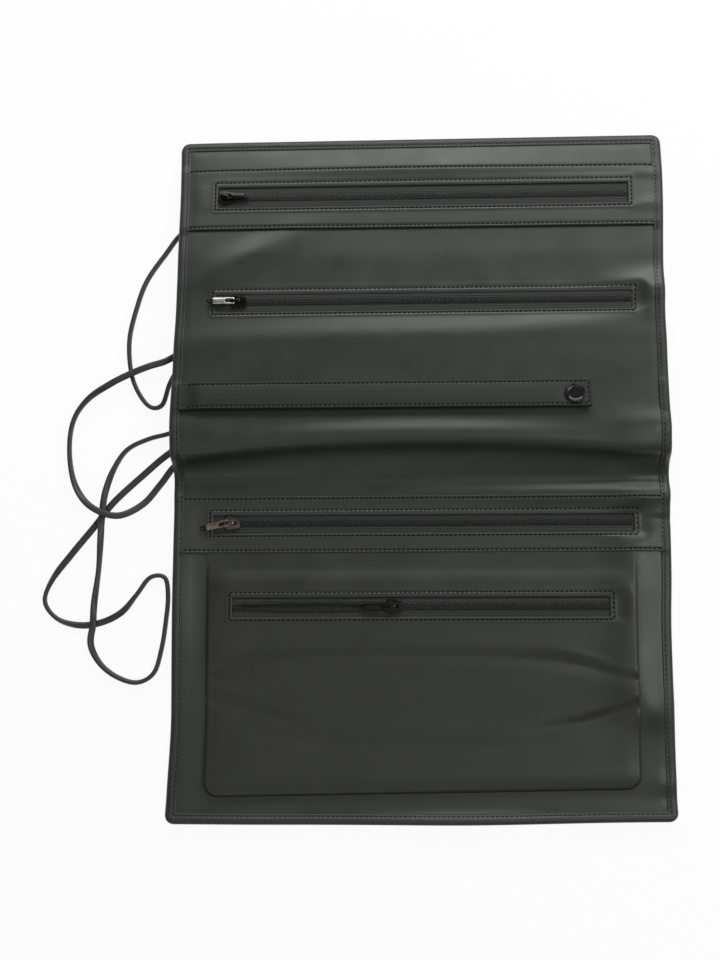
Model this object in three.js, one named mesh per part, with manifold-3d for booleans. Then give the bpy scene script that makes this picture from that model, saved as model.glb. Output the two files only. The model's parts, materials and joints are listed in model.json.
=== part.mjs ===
// A jewelry roll lying open on a table: a leather sheet in four panels that fold on pairs of creases,
// with four zips, a padded ring strap, a pouch that lifts and two flat ties.
// Millimetres, +Z up, +Y towards the roll's top edge, origin under its middle on the table.
import * as THREE from 'three';
import { mergeVertices } from 'three/addons/utils/BufferGeometryUtils.js';
import Module from 'manifold-3d';

const wasm = await Module();
wasm.setup();

// The sheet: one width, and seven lengths from the top edge to the bottom edge.
const rollWidth = 266;
const topFlapLength = 69;
const topFoldLength = 7;
const upperPanelLength = 91;
const middleFoldLength = 30;
const lowerPanelLength = 93;
const bottomFoldLength = 14;
const bottomFlapLength = 72.5;
const topFlapRise = THREE.MathUtils.degToRad(7.5);
const upperPanelRise = THREE.MathUtils.degToRad(4.2);

// Layers of the sheet, and the gap kept between any two pieces.
const gap = 0.3;
const coverThickness = 0.9;
const interliningThickness = 1.0;
const liningThickness = 0.9;
const sheetThickness = coverThickness + interliningThickness + liningThickness + 2 * gap;
const overrun = 2;

// Binding round the edges.
const bindingWidth = 5.5;
const bindingWall = 1.2;
const bindingProud = 0.5;
const cornerRadius = 5;
const cornerSteps = 5;

// Zips: No. 3 coil.
const tapeThickness = 0.5;
const tapeWidth = 11;
const coilWidth = 1.3;
const coilHeight = 1.4;
const sliderLength = 8.6;
const sliderWidth = 7.2;
const sliderTailWidth = 5.6;
const plateThickness = 0.75;
const postWidth = 0.6;
const postLength = 3;
const coilParting = postWidth + 2 * gap;
const bridgeLength = 3.2;
const bridgeWidth = 1.2;
const bridgeWall = 0.5;
const barSize = 0.8;
const pullerLength = 16.8;
const pullerWidth = 3.6;
const pullerLoopLength = 5.6;
const pullerEyeRadius = 0.8;
const bridgeOffset = 2.4;

// Sewn-on zip panels.
const panelLeather = 0.8;
const windowHeight = 12;
const topPanelTop = 16;
const topPanelDepth = 37;
const lowerPanelTop = 8.2;
const lowerPanelDepth = 30.8;
const liningWindowHeight = 14;

// Where each zip lies. Its window's ends are measured from the binding's inner edges, or from the pouch's
// sides for zip 4. Its line is measured from the strip's top edge, the crease above it or the pouch's seam,
// and its slider from the window's left end.
const zip1LeftMargin = 17;
const zip1RightMargin = 12.8;
const zip1Drop = 18;
const zip1SliderPlace = 4.8;
const zip2LeftMargin = 14.9;
const zip2RightMargin = 10.3;
const zip2Drop = 19;
const zip2SliderPlace = 14.8;
const zip3LeftMargin = 15.9;
const zip3RightMargin = 12.7;
const zip3Drop = 14.6;
const zip3SliderPlace = 10.4;
const zip4LeftMargin = 13;
const zip4RightMargin = 14;
const zip4Drop = 27.15;
const zip4SliderPlace = 87.3;
const hiddenTapeEnd = 4;
const puller3Skew = THREE.MathUtils.degToRad(12);

// Ring strap and its snap.
const strapTop = 65;
const strapWidth = 15;
const strapRightMargin = 36.5;
const strapTabLength = 3.5;
const strapThickness = 3.8;
const strapStandoff = 1.2;
const strapLeather = 0.8;
const snapFromEnd = 8.7;
const snapCapRadius = 5.3;
const snapCapHeight = 1.0;
const snapPostRadius = 2;
const socketRadius = 4.2;
const socketHeight = 1.5;
const studBaseRadius = 4.5;
const studBaseHeight = 0.5;
const studKnobRadius = 1.7;
const roundSides = 24;

// Pouch.
const pouchLeftMargin = 13;
const pouchRightMargin = 13.2;
const pouchBackThickness = 0.9;
const pouchFrontThickness = 2.8;
const pouchFlangeThickness = 0.9;
const pouchFlangeLength = 2;
const pouchTaperLength = 9;
const pouchBelowFold = 58.3;
const pouchCornerRadius = 7.5;
const pouchWindowHeight = 12.4;

// Ties: a folded and stitched lace, on edge round its loops and flat where strands cross.
const tieWidth = 3.6;
const tieThickness = 2.4;
const tieCorner = 0.7;
const tieClearance = 0.1;
const knotLength = 8;
const knotWidth = 7;
const knotHeight = 6;
const knotSides = 12;
const knotRings = 8;
const tieTabFromMiddle = 50;
const tieTabLength = 32;
const tieTabTop = 39;
const tieTabDepth = 18;
const tieTabThickness = 1.2;

// The ties' routes, chosen by hand: x, y, the underside's height over the table, and the lay, from 0 on edge
// to 1 flat.
// Tie 1 leaves the tab, runs under the roll, makes the upper two loops and ends under the roll.
const tie1Route = [
  [-50, 67, 7.8, 1], [-59, 71, 6.5, 1], [-72, 86, 2.5, 0.5], [-88, 106, 0, 0], [-104, 126, 0, 0],
  [-118, 136, 0, 0], [-130.6, 135, 0, 0], [-141, 122, 0, 0], [-151, 107, 0, 0], [-156.5, 91, 0, 0],
  [-160, 74, 0, 0], [-159, 57, 0, 0], [-155, 45, 0, 0], [-148, 36, 0, 0], [-141, 37, 0, 0],
  [-137, 49, 0, 0], [-131, 58, 0, 0], [-119, 62, 0, 0], [-104, 65, 0, 0], [-96, 75, 0, 0],
  [-103, 85, 0, 0], [-117, 81, 0, 0], [-128, 69, 0.5, 0.3], [-138, 61.5, 2.5, 0.8], [-148, 58, 3.9, 1],
  [-158, 54, 4, 1], [-169, 48.5, 3.4, 0.7], [-182, 40.5, 1, 0.2], [-190, 29, 0, 0], [-192, 13, 0, 0],
  [-189, -4, 2, 0.2], [-182, -16, 5.4, 0.8], [-173, -22.5, 5.8, 1], [-162, -24.5, 5, 1],
  [-150, -18, 2, 0.9], [-141, -7, 0.3, 0.9], [-132, 4, 0, 1], [-116, 9, 0, 1], [-99, 11, 0, 1],
  [-82, 12, 0, 1],
];
// Tie 2 leaves the tab, makes the long lower loop with its small loop at the roll's edge, and comes back.
const tie2Route = [
  [-50, 59, 8.4, 1], [-59, 56, 7, 1], [-74, 51, 3, 0.5], [-94, 44, 0, 0], [-114, 33, 0, 0],
  [-134, 22, 0, 0], [-148, 18, 0, 0], [-160, 12, 0, 0], [-167, 1, 1, 0.2], [-171, -12, 2.6, 0.7],
  [-172.5, -24, 2.7, 1], [-173, -37, 2.2, 0.5], [-174, -54, 0.8, 0.1], [-175.5, -71, 2.4, 0.5],
  [-176, -83, 2.7, 1], [-177, -94, 1.6, 0.5], [-172, -104, 0.4, 0.2], [-163, -111, 0, 0.1],
  [-152, -114, 0, 0.1], [-143, -109, 0, 0], [-139, -96, 0, 0], [-137, -82, 0, 0], [-136, -68, 0, 0],
  [-138, -58, 0, 0], [-146, -58, 0, 0], [-153, -67, 0, 0], [-161, -76.5, 0, 0.5], [-172, -82, 0, 1],
  [-184, -83.5, 0, 0.6], [-196, -80, 0, 0.2], [-203, -71, 0, 0.1], [-200, -60, 0, 0.4], [-190, -46, 0, 1],
  [-177, -30, 0, 1], [-167, -17, 0, 1], [-152, -3, 0, 1], [-136, 10.5, 0, 1], [-118, 20, 0, 1],
  [-99, 25, 0, 1], [-80, 28, 0, 1],
];

// Colours and finishes.
const leatherFinish = { color: 0x3b3d39, roughness: 0.5, metalness: 0 };
const pouchFinish = { color: 0x3e3b37, roughness: 0.45, metalness: 0 };
const coreFinish = { color: 0x55534f, roughness: 0.9, metalness: 0 };
const bindingFinish = { color: 0x30332f, roughness: 0.5, metalness: 0 };
const tapeFinish = { color: 0x222627, roughness: 0.8, metalness: 0 };
const metalFinish = { color: 0x2a2b2a, roughness: 0.25, metalness: 0.9 };
const tieFinish = { color: 0x3a3638, roughness: 0.55, metalness: 0 };

const halfWidth = rollWidth / 2;
const innerHalf = halfWidth - bindingWidth;
const liningHalf = innerHalf - gap;
const pouchLeft = pouchLeftMargin - innerHalf;
const pouchRight = innerHalf - pouchRightMargin;
const coverTop = coverThickness - sheetThickness;
const interliningLow = coverTop + gap;
const interliningHigh = interliningLow + interliningThickness;
const liningLow = -liningThickness;

// Levels over the lining's face: the sewn-on strips with their tapes, and the pouch.
const tapeLevel = gap;
const panelLow = tapeLevel + tapeThickness + gap;
const panelHigh = panelLow + panelLeather;
const pouchBackLow = gap;
const pouchBackHigh = pouchBackLow + pouchBackThickness;
const pouchFrontLow = pouchBackHigh + gap;
const pouchFrontHigh = pouchFrontLow + pouchFrontThickness;
const flangeHigh = pouchFrontLow + pouchFlangeThickness;
const seamReach = (flangeHigh - pouchBackLow) / 2 + 2 * gap;
const pouchSeam = lowerPanelTop + lowerPanelDepth + seamReach;

// A zip's window ends, its line down the panel and its slider's middle.
const zipAt = (left, right, line, sliderPlace) => ({ left, right, line, slider: left + sliderPlace });
const zip1 = zipAt(zip1LeftMargin - innerHalf, innerHalf - zip1RightMargin, topPanelTop + zip1Drop,
  zip1SliderPlace);
const zip2 = zipAt(zip2LeftMargin - innerHalf, innerHalf - zip2RightMargin, zip2Drop, zip2SliderPlace);
const zip3 = zipAt(zip3LeftMargin - innerHalf, innerHalf - zip3RightMargin, lowerPanelTop + zip3Drop,
  zip3SliderPlace);
const zip4 = zipAt(pouchLeft + zip4LeftMargin, pouchRight - zip4RightMargin, pouchSeam + zip4Drop,
  zip4SliderPlace);

// An outline on a panel: x to the right, s down the panel from its top crease, corners rounded if asked.
function outline(left, right, top, bottom, topRadius = 0, bottomRadius = 0) {
  const shape = new THREE.Shape();
  const quarter = Math.PI / 2;
  const low = -bottom + bottomRadius;
  shape.moveTo(left, low);
  if (bottomRadius) shape.absarc(left + bottomRadius, low, bottomRadius, 2 * quarter, 3 * quarter);
  else shape.lineTo(left, -bottom);
  if (bottomRadius) shape.absarc(right - bottomRadius, low, bottomRadius, -quarter, 0);
  else shape.lineTo(right, -bottom);
  if (topRadius) shape.absarc(right - topRadius, -top - topRadius, topRadius, 0, quarter);
  else shape.lineTo(right, -top);
  if (topRadius) shape.absarc(left + topRadius, -top - topRadius, topRadius, quarter, 2 * quarter);
  else shape.lineTo(left, -top);
  return shape;
}

function hole(left, right, top, bottom) {
  return new THREE.Path(outline(left, right, top, bottom).getPoints().reverse());
}

// An outline made solid between two levels.
function slab(shape, low, high) {
  const settings = { depth: high - low, bevelEnabled: false, curveSegments: cornerSteps };
  return new THREE.ExtrudeGeometry(shape, settings).translate(0, 0, low);
}

function block(x0, x1, y0, y1, z0, z1) {
  const geometry = new THREE.BoxGeometry(x1 - x0, y1 - y0, z1 - z0);
  return geometry.translate((x0 + x1) / 2, (y0 + y1) / 2, (z0 + z1) / 2);
}

// A section of x and height, run down the panel from one length to another.
function rail(section, top, bottom) {
  const geometry = new THREE.ExtrudeGeometry(section, { depth: bottom - top, bevelEnabled: false });
  return geometry.rotateX(Math.PI / 2).translate(0, -top, 0);
}

// Cuts the end of a piece back with distance from the crease's level. Above it the fold can then close to a
// right angle, and below it the slope is what the sheet's outward bend needs.
const closingSlope = Math.tan(Math.PI / 4);
function mitre(geometry, end, inward, slope) {
  const points = geometry.attributes.position;
  for (let i = 0; i < points.count; i += 1) {
    const z = points.getZ(i);
    const back = z > 0 ? closingSlope * z : -slope * z;
    if (Math.abs(points.getY(i) + end) < gap / 2) points.setY(i, points.getY(i) + inward * back);
  }
  return geometry;
}

function toSolid(geometry) {
  const bare = new THREE.BufferGeometry();
  bare.setAttribute('position', geometry.attributes.position.clone());
  if (geometry.index) bare.setIndex(geometry.index.clone());
  const merged = mergeVertices(bare, 1e-4);
  return new wasm.Manifold(new wasm.Mesh({
    numProp: 3,
    vertProperties: new Float32Array(merged.attributes.position.array),
    triVerts: new Uint32Array(merged.index.array),
  }));
}

function toGeometry(solid) {
  const mesh = solid.getMesh();
  const geometry = new THREE.BufferGeometry();
  geometry.setAttribute('position', new THREE.BufferAttribute(new Float32Array(mesh.vertProperties), 3));
  geometry.setIndex(new THREE.BufferAttribute(new Uint32Array(mesh.triVerts), 1));
  return geometry;
}

function join(...geometries) {
  return toGeometry(geometries.map(toSolid).reduce((whole, next) => whole.add(next)));
}

function cut(geometry, ...tools) {
  return toGeometry(tools.map(toSolid).reduce((whole, next) => whole.subtract(next), toSolid(geometry)));
}

function piece(parent, name, geometry, finish) {
  geometry.computeVertexNormals();
  const mesh = new THREE.Mesh(geometry, new THREE.MeshStandardMaterial(finish));
  mesh.name = name;
  parent.add(mesh);
  return mesh;
}

// Panels stand in a chain. Each group's origin is on its top crease, at the level of the lining's face.
const risen = upperPanelLength * Math.sin(upperPanelRise) + topFlapLength * Math.sin(topFlapRise);
const middleFoldFall = Math.asin((risen - sheetThickness * (1 - Math.cos(topFlapRise))) / middleFoldLength);
const chain = [
  { length: topFlapLength, rise: topFlapRise },
  { length: topFoldLength, rise: 0 },
  { length: upperPanelLength, rise: upperPanelRise },
  { length: middleFoldLength, rise: -middleFoldFall },
  { length: lowerPanelLength, rise: 0 },
  { length: bottomFoldLength, rise: 0 },
  { length: bottomFlapLength, rise: 0 },
];
const run = chain.reduce((sum, link) => sum + link.length * Math.cos(link.rise), 0);
const bindingOverhang = bindingProud * Math.sin(topFlapRise);
const roll = new THREE.Group();
let creaseY = (run - bindingOverhang) / 2;
let creaseZ = sheetThickness * Math.cos(topFlapRise);
const panels = chain.map((link) => {
  const panel = new THREE.Group();
  panel.position.set(0, creaseY, creaseZ);
  panel.rotation.x = -link.rise;
  roll.add(panel);
  creaseY -= link.length * Math.cos(link.rise);
  creaseZ += link.length * Math.sin(link.rise);
  return panel;
});
const [topFlap, topFold, upperPanel, middleFold, lowerPanel, bottomFold, bottomFlap] = panels;

// Slopes of the mitres, from the angle that the sheet already bends outwards at each crease.
const topCreaseSlope = Math.tan(topFlapRise / 2);
const ridgeSlope = Math.tan((upperPanelRise + middleFoldFall) / 2);

const half = gap / 2;
const up = 1;
const down = -1;

// Layers of one panel, each mitred at its two creases.
function layer(length, topSlope, bottomSlope, left, right, low, high, window) {
  const shape = outline(left, right, half, length - half);
  if (window) shape.holes.push(hole(window.left, window.right, window.top, window.bottom));
  const geometry = slab(shape, low, high);
  mitre(geometry, half, down, topSlope);
  return mitre(geometry, length - half, up, bottomSlope);
}

// The binding's section at one edge: a channel that grips the interlining.
function bindingSection(side) {
  const points = [
    [innerHalf, -sheetThickness],
    [halfWidth, -sheetThickness],
    [halfWidth, bindingProud],
    [innerHalf, bindingProud],
    [innerHalf, liningLow],
    [halfWidth - bindingWall, liningLow],
    [halfWidth - bindingWall, coverTop],
    [innerHalf, coverTop],
  ].map(([x, z]) => new THREE.Vector2(side * x, z));
  return new THREE.Shape(side > 0 ? points : points.reverse());
}

function sideBinding(length, topSlope, bottomSlope, side) {
  const geometry = rail(bindingSection(side), half, length - half);
  mitre(geometry, half, down, topSlope);
  return mitre(geometry, length - half, up, bottomSlope);
}

// The binding of an end flap goes round three edges and two corners.
function endBinding(length, atTop, creaseSlope) {
  const near = atTop ? 0 : half;
  const far = atTop ? length - half : length;
  const corner = cornerRadius;
  const inside = Math.max(corner - bindingWall, gap);
  const body = slab(
    outline(-halfWidth, halfWidth, near, far, atTop ? corner : 0, atTop ? 0 : corner),
    -sheetThickness,
    bindingProud,
  );
  const windowTop = atTop ? bindingWidth : -overrun;
  const windowBottom = atTop ? length + overrun : length - bindingWidth;
  const window = slab(
    outline(-innerHalf, innerHalf, windowTop, windowBottom),
    -sheetThickness - overrun,
    bindingProud + overrun,
  );
  const reach = halfWidth - bindingWall;
  const slot = slab(
    outline(
      -reach,
      reach,
      atTop ? bindingWall : -overrun,
      atTop ? length + overrun : length - bindingWall,
      atTop ? inside : 0,
      atTop ? 0 : inside,
    ),
    coverTop,
    liningLow,
  );
  const geometry = cut(body, window, slot);
  return mitre(geometry, atTop ? far : near, atTop ? up : down, creaseSlope);
}

// A flap's flat layer: it stops inside the binding on three sides and at the crease on the fourth.
function flapLayer(length, atTop, creaseSlope, side, radius, low, high, window) {
  const inset = halfWidth - side;
  const top = atTop ? inset : half;
  const bottom = atTop ? length - half : length - inset;
  const shape = outline(-side, side, top, bottom, atTop ? radius : 0, atTop ? 0 : radius);
  if (window) shape.holes.push(hole(window.left, window.right, window.top, window.bottom));
  const geometry = slab(shape, low, high);
  return mitre(geometry, atTop ? bottom : top, atTop ? up : down, creaseSlope);
}

// The room under a zip that its slider's lower plate runs in.
const runHalf = sliderWidth / 2 + 2 * gap;
const sliderRun = (zip) => ({
  left: zip.left - gap,
  right: zip.right + gap,
  top: zip.line - runHalf,
  bottom: zip.line + runHalf,
});
const interliningHalf = halfWidth - bindingWall - gap;
const interliningRadius = Math.max(cornerRadius - bindingWall - gap, gap);

// Top flap.
piece(topFlap, 'cover_top_flap',
  flapLayer(topFlapLength, true, topCreaseSlope, liningHalf, 0, -sheetThickness, coverTop), leatherFinish);
piece(topFlap, 'interlining_top_flap',
  flapLayer(topFlapLength, true, topCreaseSlope, interliningHalf, interliningRadius, interliningLow,
    interliningHigh), coreFinish);
piece(topFlap, 'lining_top_flap',
  flapLayer(topFlapLength, true, topCreaseSlope, liningHalf, 0, liningLow, 0, sliderRun(zip1)),
  leatherFinish);
piece(topFlap, 'binding_top_flap', endBinding(topFlapLength, true, topCreaseSlope), bindingFinish);

// Upper panel, the one that the ring strap lies on.
const zip2Window = {
  left: zip2.left,
  right: zip2.right,
  top: zip2.line - liningWindowHeight / 2,
  bottom: zip2.line + liningWindowHeight / 2,
};
piece(upperPanel, 'cover_upper_panel',
  layer(upperPanelLength, 0, ridgeSlope, -liningHalf, liningHalf, -sheetThickness, coverTop), leatherFinish);
piece(upperPanel, 'interlining_upper_panel',
  layer(upperPanelLength, 0, ridgeSlope, -interliningHalf, interliningHalf, interliningLow, interliningHigh,
    sliderRun(zip2)), coreFinish);
piece(upperPanel, 'lining_upper_panel',
  layer(upperPanelLength, 0, ridgeSlope, -liningHalf, liningHalf, liningLow, 0, zip2Window), leatherFinish);
piece(upperPanel, 'binding_upper_left', sideBinding(upperPanelLength, 0, ridgeSlope, -1), bindingFinish);
piece(upperPanel, 'binding_upper_right', sideBinding(upperPanelLength, 0, ridgeSlope, 1), bindingFinish);

// Lower panel, the one that the pouch lies on.
piece(lowerPanel, 'cover_lower_panel',
  layer(lowerPanelLength, 0, 0, -liningHalf, liningHalf, -sheetThickness, coverTop), leatherFinish);
piece(lowerPanel, 'interlining_lower_panel',
  layer(lowerPanelLength, 0, 0, -interliningHalf, interliningHalf, interliningLow, interliningHigh),
  coreFinish);
piece(lowerPanel, 'lining_lower_panel',
  layer(lowerPanelLength, 0, 0, -liningHalf, liningHalf, liningLow, 0, sliderRun(zip3)), leatherFinish);
piece(lowerPanel, 'binding_lower_left', sideBinding(lowerPanelLength, 0, 0, -1), bindingFinish);
piece(lowerPanel, 'binding_lower_right', sideBinding(lowerPanelLength, 0, 0, 1), bindingFinish);

// Bottom flap.
piece(bottomFlap, 'cover_bottom_flap',
  flapLayer(bottomFlapLength, false, 0, liningHalf, 0, -sheetThickness, coverTop), leatherFinish);
piece(bottomFlap, 'interlining_bottom_flap',
  flapLayer(bottomFlapLength, false, 0, interliningHalf, interliningRadius, interliningLow, interliningHigh),
  coreFinish);
piece(bottomFlap, 'lining_bottom_flap',
  flapLayer(bottomFlapLength, false, 0, liningHalf, 0, liningLow, 0), leatherFinish);
piece(bottomFlap, 'binding_bottom_flap', endBinding(bottomFlapLength, false, 0), bindingFinish);

// A fold is cover and binding in one tray, with the lining between its edges and no interlining, so it bends.
function fold(parent, name, length, topSlope, bottomSlope) {
  const section = new THREE.Shape([
    [-halfWidth, -sheetThickness],
    [halfWidth, -sheetThickness],
    [halfWidth, bindingProud],
    [innerHalf, bindingProud],
    [innerHalf, coverTop],
    [-innerHalf, coverTop],
    [-innerHalf, bindingProud],
    [-halfWidth, bindingProud],
  ].map(([x, z]) => new THREE.Vector2(x, z)));
  const tray = rail(section, half, length - half);
  mitre(tray, half, down, topSlope);
  mitre(tray, length - half, up, bottomSlope);
  piece(parent, `cover_${name}`, tray, leatherFinish);
  piece(parent, `lining_${name}`,
    layer(length, topSlope, bottomSlope, -liningHalf, liningHalf, liningLow, 0), leatherFinish);
}
fold(topFold, 'top_fold', topFoldLength, topCreaseSlope, 0);
fold(middleFold, 'middle_fold', middleFoldLength, ridgeSlope, 0);
fold(bottomFold, 'bottom_fold', bottomFoldLength, 0, 0);

// A zip panel: a strip of leather with a window, over the zip's tapes.
function zipPanel(parent, name, top, depth, zip) {
  const shape = outline(-liningHalf, liningHalf, top, top + depth);
  const reach = windowHeight / 2;
  shape.holes.push(hole(zip.left, zip.right, zip.line - reach, zip.line + reach));
  piece(parent, name, slab(shape, panelLow, panelHigh), leatherFinish);
}
zipPanel(topFlap, 'zip_panel_top', topPanelTop, topPanelDepth, zip1);
zipPanel(lowerPanel, 'zip_panel_lower', lowerPanelTop, lowerPanelDepth, zip3);

// One half of a zip: the tape with its coil along the inner edge. side is 1 for the upper half.
function tapeHalf(parent, name, zip, level, width, ends, side) {
  const strip = (inner, outer, x0, x1, high) => {
    const edges = [-zip.line + side * inner, -zip.line + side * outer];
    return block(x0, x1, Math.min(...edges), Math.max(...edges), level, level + high);
  };
  const inner = coilParting / 2;
  const tape = strip(inner, width, zip.left - ends, zip.right + ends, tapeThickness);
  const coil = strip(inner, inner + coilWidth, zip.left + gap, zip.right - gap, coilHeight);
  piece(parent, name, join(tape, coil), tapeFinish);
}
function tapes(parent, name, zip, level, width, ends) {
  tapeHalf(parent, `${name}_tape_upper`, zip, level, width, ends, 1);
  tapeHalf(parent, `${name}_tape_lower`, zip, level, width, ends, -1);
}

// A slider: two plates, the post between the coils, and the bridge that holds the puller's bar.
const upperPlateLow = coilHeight + gap;
const upperPlateHigh = upperPlateLow + plateThickness;
const barMiddle = upperPlateHigh + gap + barSize / 2;
const bridgeHigh = barMiddle + barSize / 2 + gap + bridgeWall;
function sliderBody() {
  const reach = sliderLength / 2;
  const nose = sliderWidth / 2;
  const tail = sliderTailWidth / 2;
  const plan = new THREE.Shape();
  plan.moveTo(-reach, -tail);
  plan.lineTo(bridgeOffset, -nose);
  plan.lineTo(reach, -tail);
  plan.lineTo(reach, tail);
  plan.lineTo(bridgeOffset, nose);
  plan.lineTo(-reach, tail);
  plan.closePath();
  const lower = slab(plan, -gap - plateThickness, -gap);
  const upper = slab(plan, upperPlateLow, upperPlateHigh);
  const postRight = reach - plateThickness;
  const upperMiddle = upperPlateHigh - plateThickness / 2;
  const post = block(postRight - postLength, postRight, -postWidth / 2, postWidth / 2,
    -gap - plateThickness / 2, upperMiddle);
  const bridgeReach = bridgeLength / 2;
  const bridge = block(-bridgeOffset - bridgeReach, -bridgeOffset + bridgeReach, -bridgeWidth / 2,
    bridgeWidth / 2, upperMiddle, bridgeHigh);
  const eye = bridgeReach - bridgeWall;
  const opening = block(-bridgeOffset - eye, -bridgeOffset + eye, -bridgeWidth, bridgeWidth, upperPlateHigh,
    bridgeHigh - bridgeWall);
  return cut(join(lower, upper, post, bridge), opening);
}

// A puller, flat, its bar on the origin and its tip towards +X.
function pullerBody() {
  const side = pullerWidth / 2;
  const bar = barSize / 2;
  const loopHalf = bridgeWidth / 2 + gap;
  const eyeMiddle = pullerLength - side;
  const plan = outline(-bar, pullerLength, -side, side);
  plan.holes.push(hole(bar, pullerLoopLength, -loopHalf, loopHalf));
  const eye = new THREE.Path();
  eye.absarc(eyeMiddle, 0, pullerEyeRadius, 0, 2 * Math.PI, true);
  plan.holes.push(eye);
  return slab(plan, -bar, bar);
}
function slider(parent, name, zip, level, pointing, skew = 0) {
  const carriage = new THREE.Group();
  carriage.position.set(zip.slider, -zip.line, level);
  parent.add(carriage);
  piece(carriage, `${name}_slider`, sliderBody(), metalFinish);
  const puller = piece(carriage, `${name}_puller`, pullerBody(), metalFinish);
  puller.position.set(-bridgeOffset, 0, barMiddle);
  puller.rotation.z = (pointing < 0 ? Math.PI : 0) + skew;
}

tapes(topFlap, 'zip1', zip1, tapeLevel, tapeWidth, hiddenTapeEnd);
slider(topFlap, 'zip1', zip1, tapeLevel, 1);
const sunkLevel = -tapeThickness - gap;
tapes(upperPanel, 'zip2', zip2, sunkLevel, liningWindowHeight / 2 - gap, -gap);
slider(upperPanel, 'zip2', zip2, sunkLevel, -1);
tapes(lowerPanel, 'zip3', zip3, tapeLevel, tapeWidth, hiddenTapeEnd);
slider(lowerPanel, 'zip3', zip3, tapeLevel, -1, puller3Skew);

// Ring strap: a tab stays in the binding, the strap turns over it, and the snap holds its free end.
const strapBottom = strapTop + strapWidth;
const strapLine = strapTop + strapWidth / 2;
const strapEnd = innerHalf - strapRightMargin;
const strapHigh = strapStandoff + strapThickness;
const tabEnd = -liningHalf + strapTabLength;
const strapStart = tabEnd + gap;
const snapX = strapEnd - snapFromEnd;
const socketLow = strapStandoff + half;
const socketHigh = socketLow + socketHeight;
const capLow = strapHigh + half;
const knobHigh = socketLow + socketHeight - gap;
const knobBore = studKnobRadius + gap;
piece(upperPanel, 'ring_strap_tab', slab(outline(-liningHalf, tabEnd, strapTop, strapBottom), gap, strapHigh),
  leatherFinish);
const disc = (radius, low, high) => {
  const geometry = new THREE.CylinderGeometry(radius, radius, high - low, roundSides);
  return geometry.rotateX(Math.PI / 2).translate(snapX, -strapLine, (low + high) / 2);
};
const strapBody = slab(outline(strapStart, strapEnd, strapTop, strapBottom), strapStandoff, strapHigh);
const coreEnd = snapX - socketRadius - strapLeather - gap;
const strapHollow = slab(
  outline(strapStart - overrun, coreEnd + gap, strapTop + strapLeather, strapBottom - strapLeather),
  strapStandoff + strapLeather,
  strapHigh - strapLeather,
);
piece(upperPanel, 'ring_strap_sleeve', cut(
  strapBody,
  strapHollow,
  disc(socketRadius + gap, strapStandoff - overrun, socketHigh + gap),
  disc(snapPostRadius + gap, strapStandoff, strapHigh + overrun),
), leatherFinish);
const coreInset = strapLeather + gap;
piece(upperPanel, 'ring_strap_core', slab(
  outline(strapStart, coreEnd, strapTop + coreInset, strapBottom - coreInset),
  strapStandoff + coreInset,
  strapHigh - coreInset,
), coreFinish);
piece(upperPanel, 'snap_cap', join(
  disc(snapCapRadius, capLow, capLow + snapCapHeight),
  disc(snapPostRadius, socketHigh + gap, capLow + snapCapHeight / 2),
), metalFinish);
piece(upperPanel, 'snap_socket', cut(
  disc(socketRadius, socketLow, socketHigh),
  disc(knobBore, socketLow - overrun, socketHigh + overrun),
), metalFinish);
piece(upperPanel, 'snap_stud', join(
  disc(studBaseRadius, gap, gap + studBaseHeight),
  disc(studKnobRadius, gap + studBaseHeight / 2, knobHigh),
), metalFinish);

// Pouch: back and front above the lower panel, a fold, and back and front on the bottom flap.
const upperEnd = lowerPanelLength - half;
const pouchBack = slab(outline(pouchLeft, pouchRight, pouchSeam, upperEnd), pouchBackLow, pouchBackHigh);
piece(lowerPanel, 'pouch_back_upper', mitre(pouchBack, upperEnd, up, 0), pouchFinish);
const frontSection = new THREE.Shape([
  [pouchSeam, pouchFrontLow],
  [upperEnd - pouchFrontLow, pouchFrontLow],
  [upperEnd - pouchFrontHigh, pouchFrontHigh],
  [pouchSeam + pouchTaperLength, pouchFrontHigh],
  [pouchSeam + pouchFlangeLength, flangeHigh],
  [pouchSeam, flangeHigh],
].map(([s, z]) => new THREE.Vector2(-s, z)).reverse());
const frontDepth = pouchRight - pouchLeft;
const frontUpper = new THREE.ExtrudeGeometry(frontSection, { depth: frontDepth, bevelEnabled: false });
frontUpper.rotateX(Math.PI / 2).rotateZ(Math.PI / 2).translate(pouchLeft, 0, 0);
const pouchWindow = slab(
  outline(zip4.left, zip4.right, zip4.line - pouchWindowHeight / 2, zip4.line + pouchWindowHeight / 2),
  pouchFrontLow - overrun,
  pouchFrontHigh + overrun,
);
piece(lowerPanel, 'pouch_front_upper', cut(frontUpper, pouchWindow), pouchFinish);
const pouchTapeLevel = pouchFrontLow + pouchFrontThickness / 2;
tapes(lowerPanel, 'zip4', zip4, pouchTapeLevel, pouchWindowHeight / 2 - gap, -gap);
slider(lowerPanel, 'zip4', zip4, pouchTapeLevel, -1);

const pouchFoldSolid = slab(outline(pouchLeft, pouchRight, half, bottomFoldLength - half), pouchBackLow,
  pouchFrontHigh);
mitre(pouchFoldSolid, half, down, 0);
mitre(pouchFoldSolid, bottomFoldLength - half, up, 0);
piece(bottomFold, 'pouch_fold', pouchFoldSolid, pouchFinish);

const pouchLower = (low, high) => mitre(
  slab(outline(pouchLeft, pouchRight, half, pouchBelowFold, 0, pouchCornerRadius), low, high),
  half,
  down,
  0,
);
piece(bottomFlap, 'pouch_back_lower', pouchLower(pouchBackLow, pouchBackHigh), pouchFinish);
piece(bottomFlap, 'pouch_front_lower', pouchLower(pouchFrontLow, pouchFrontHigh), pouchFinish);

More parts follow.
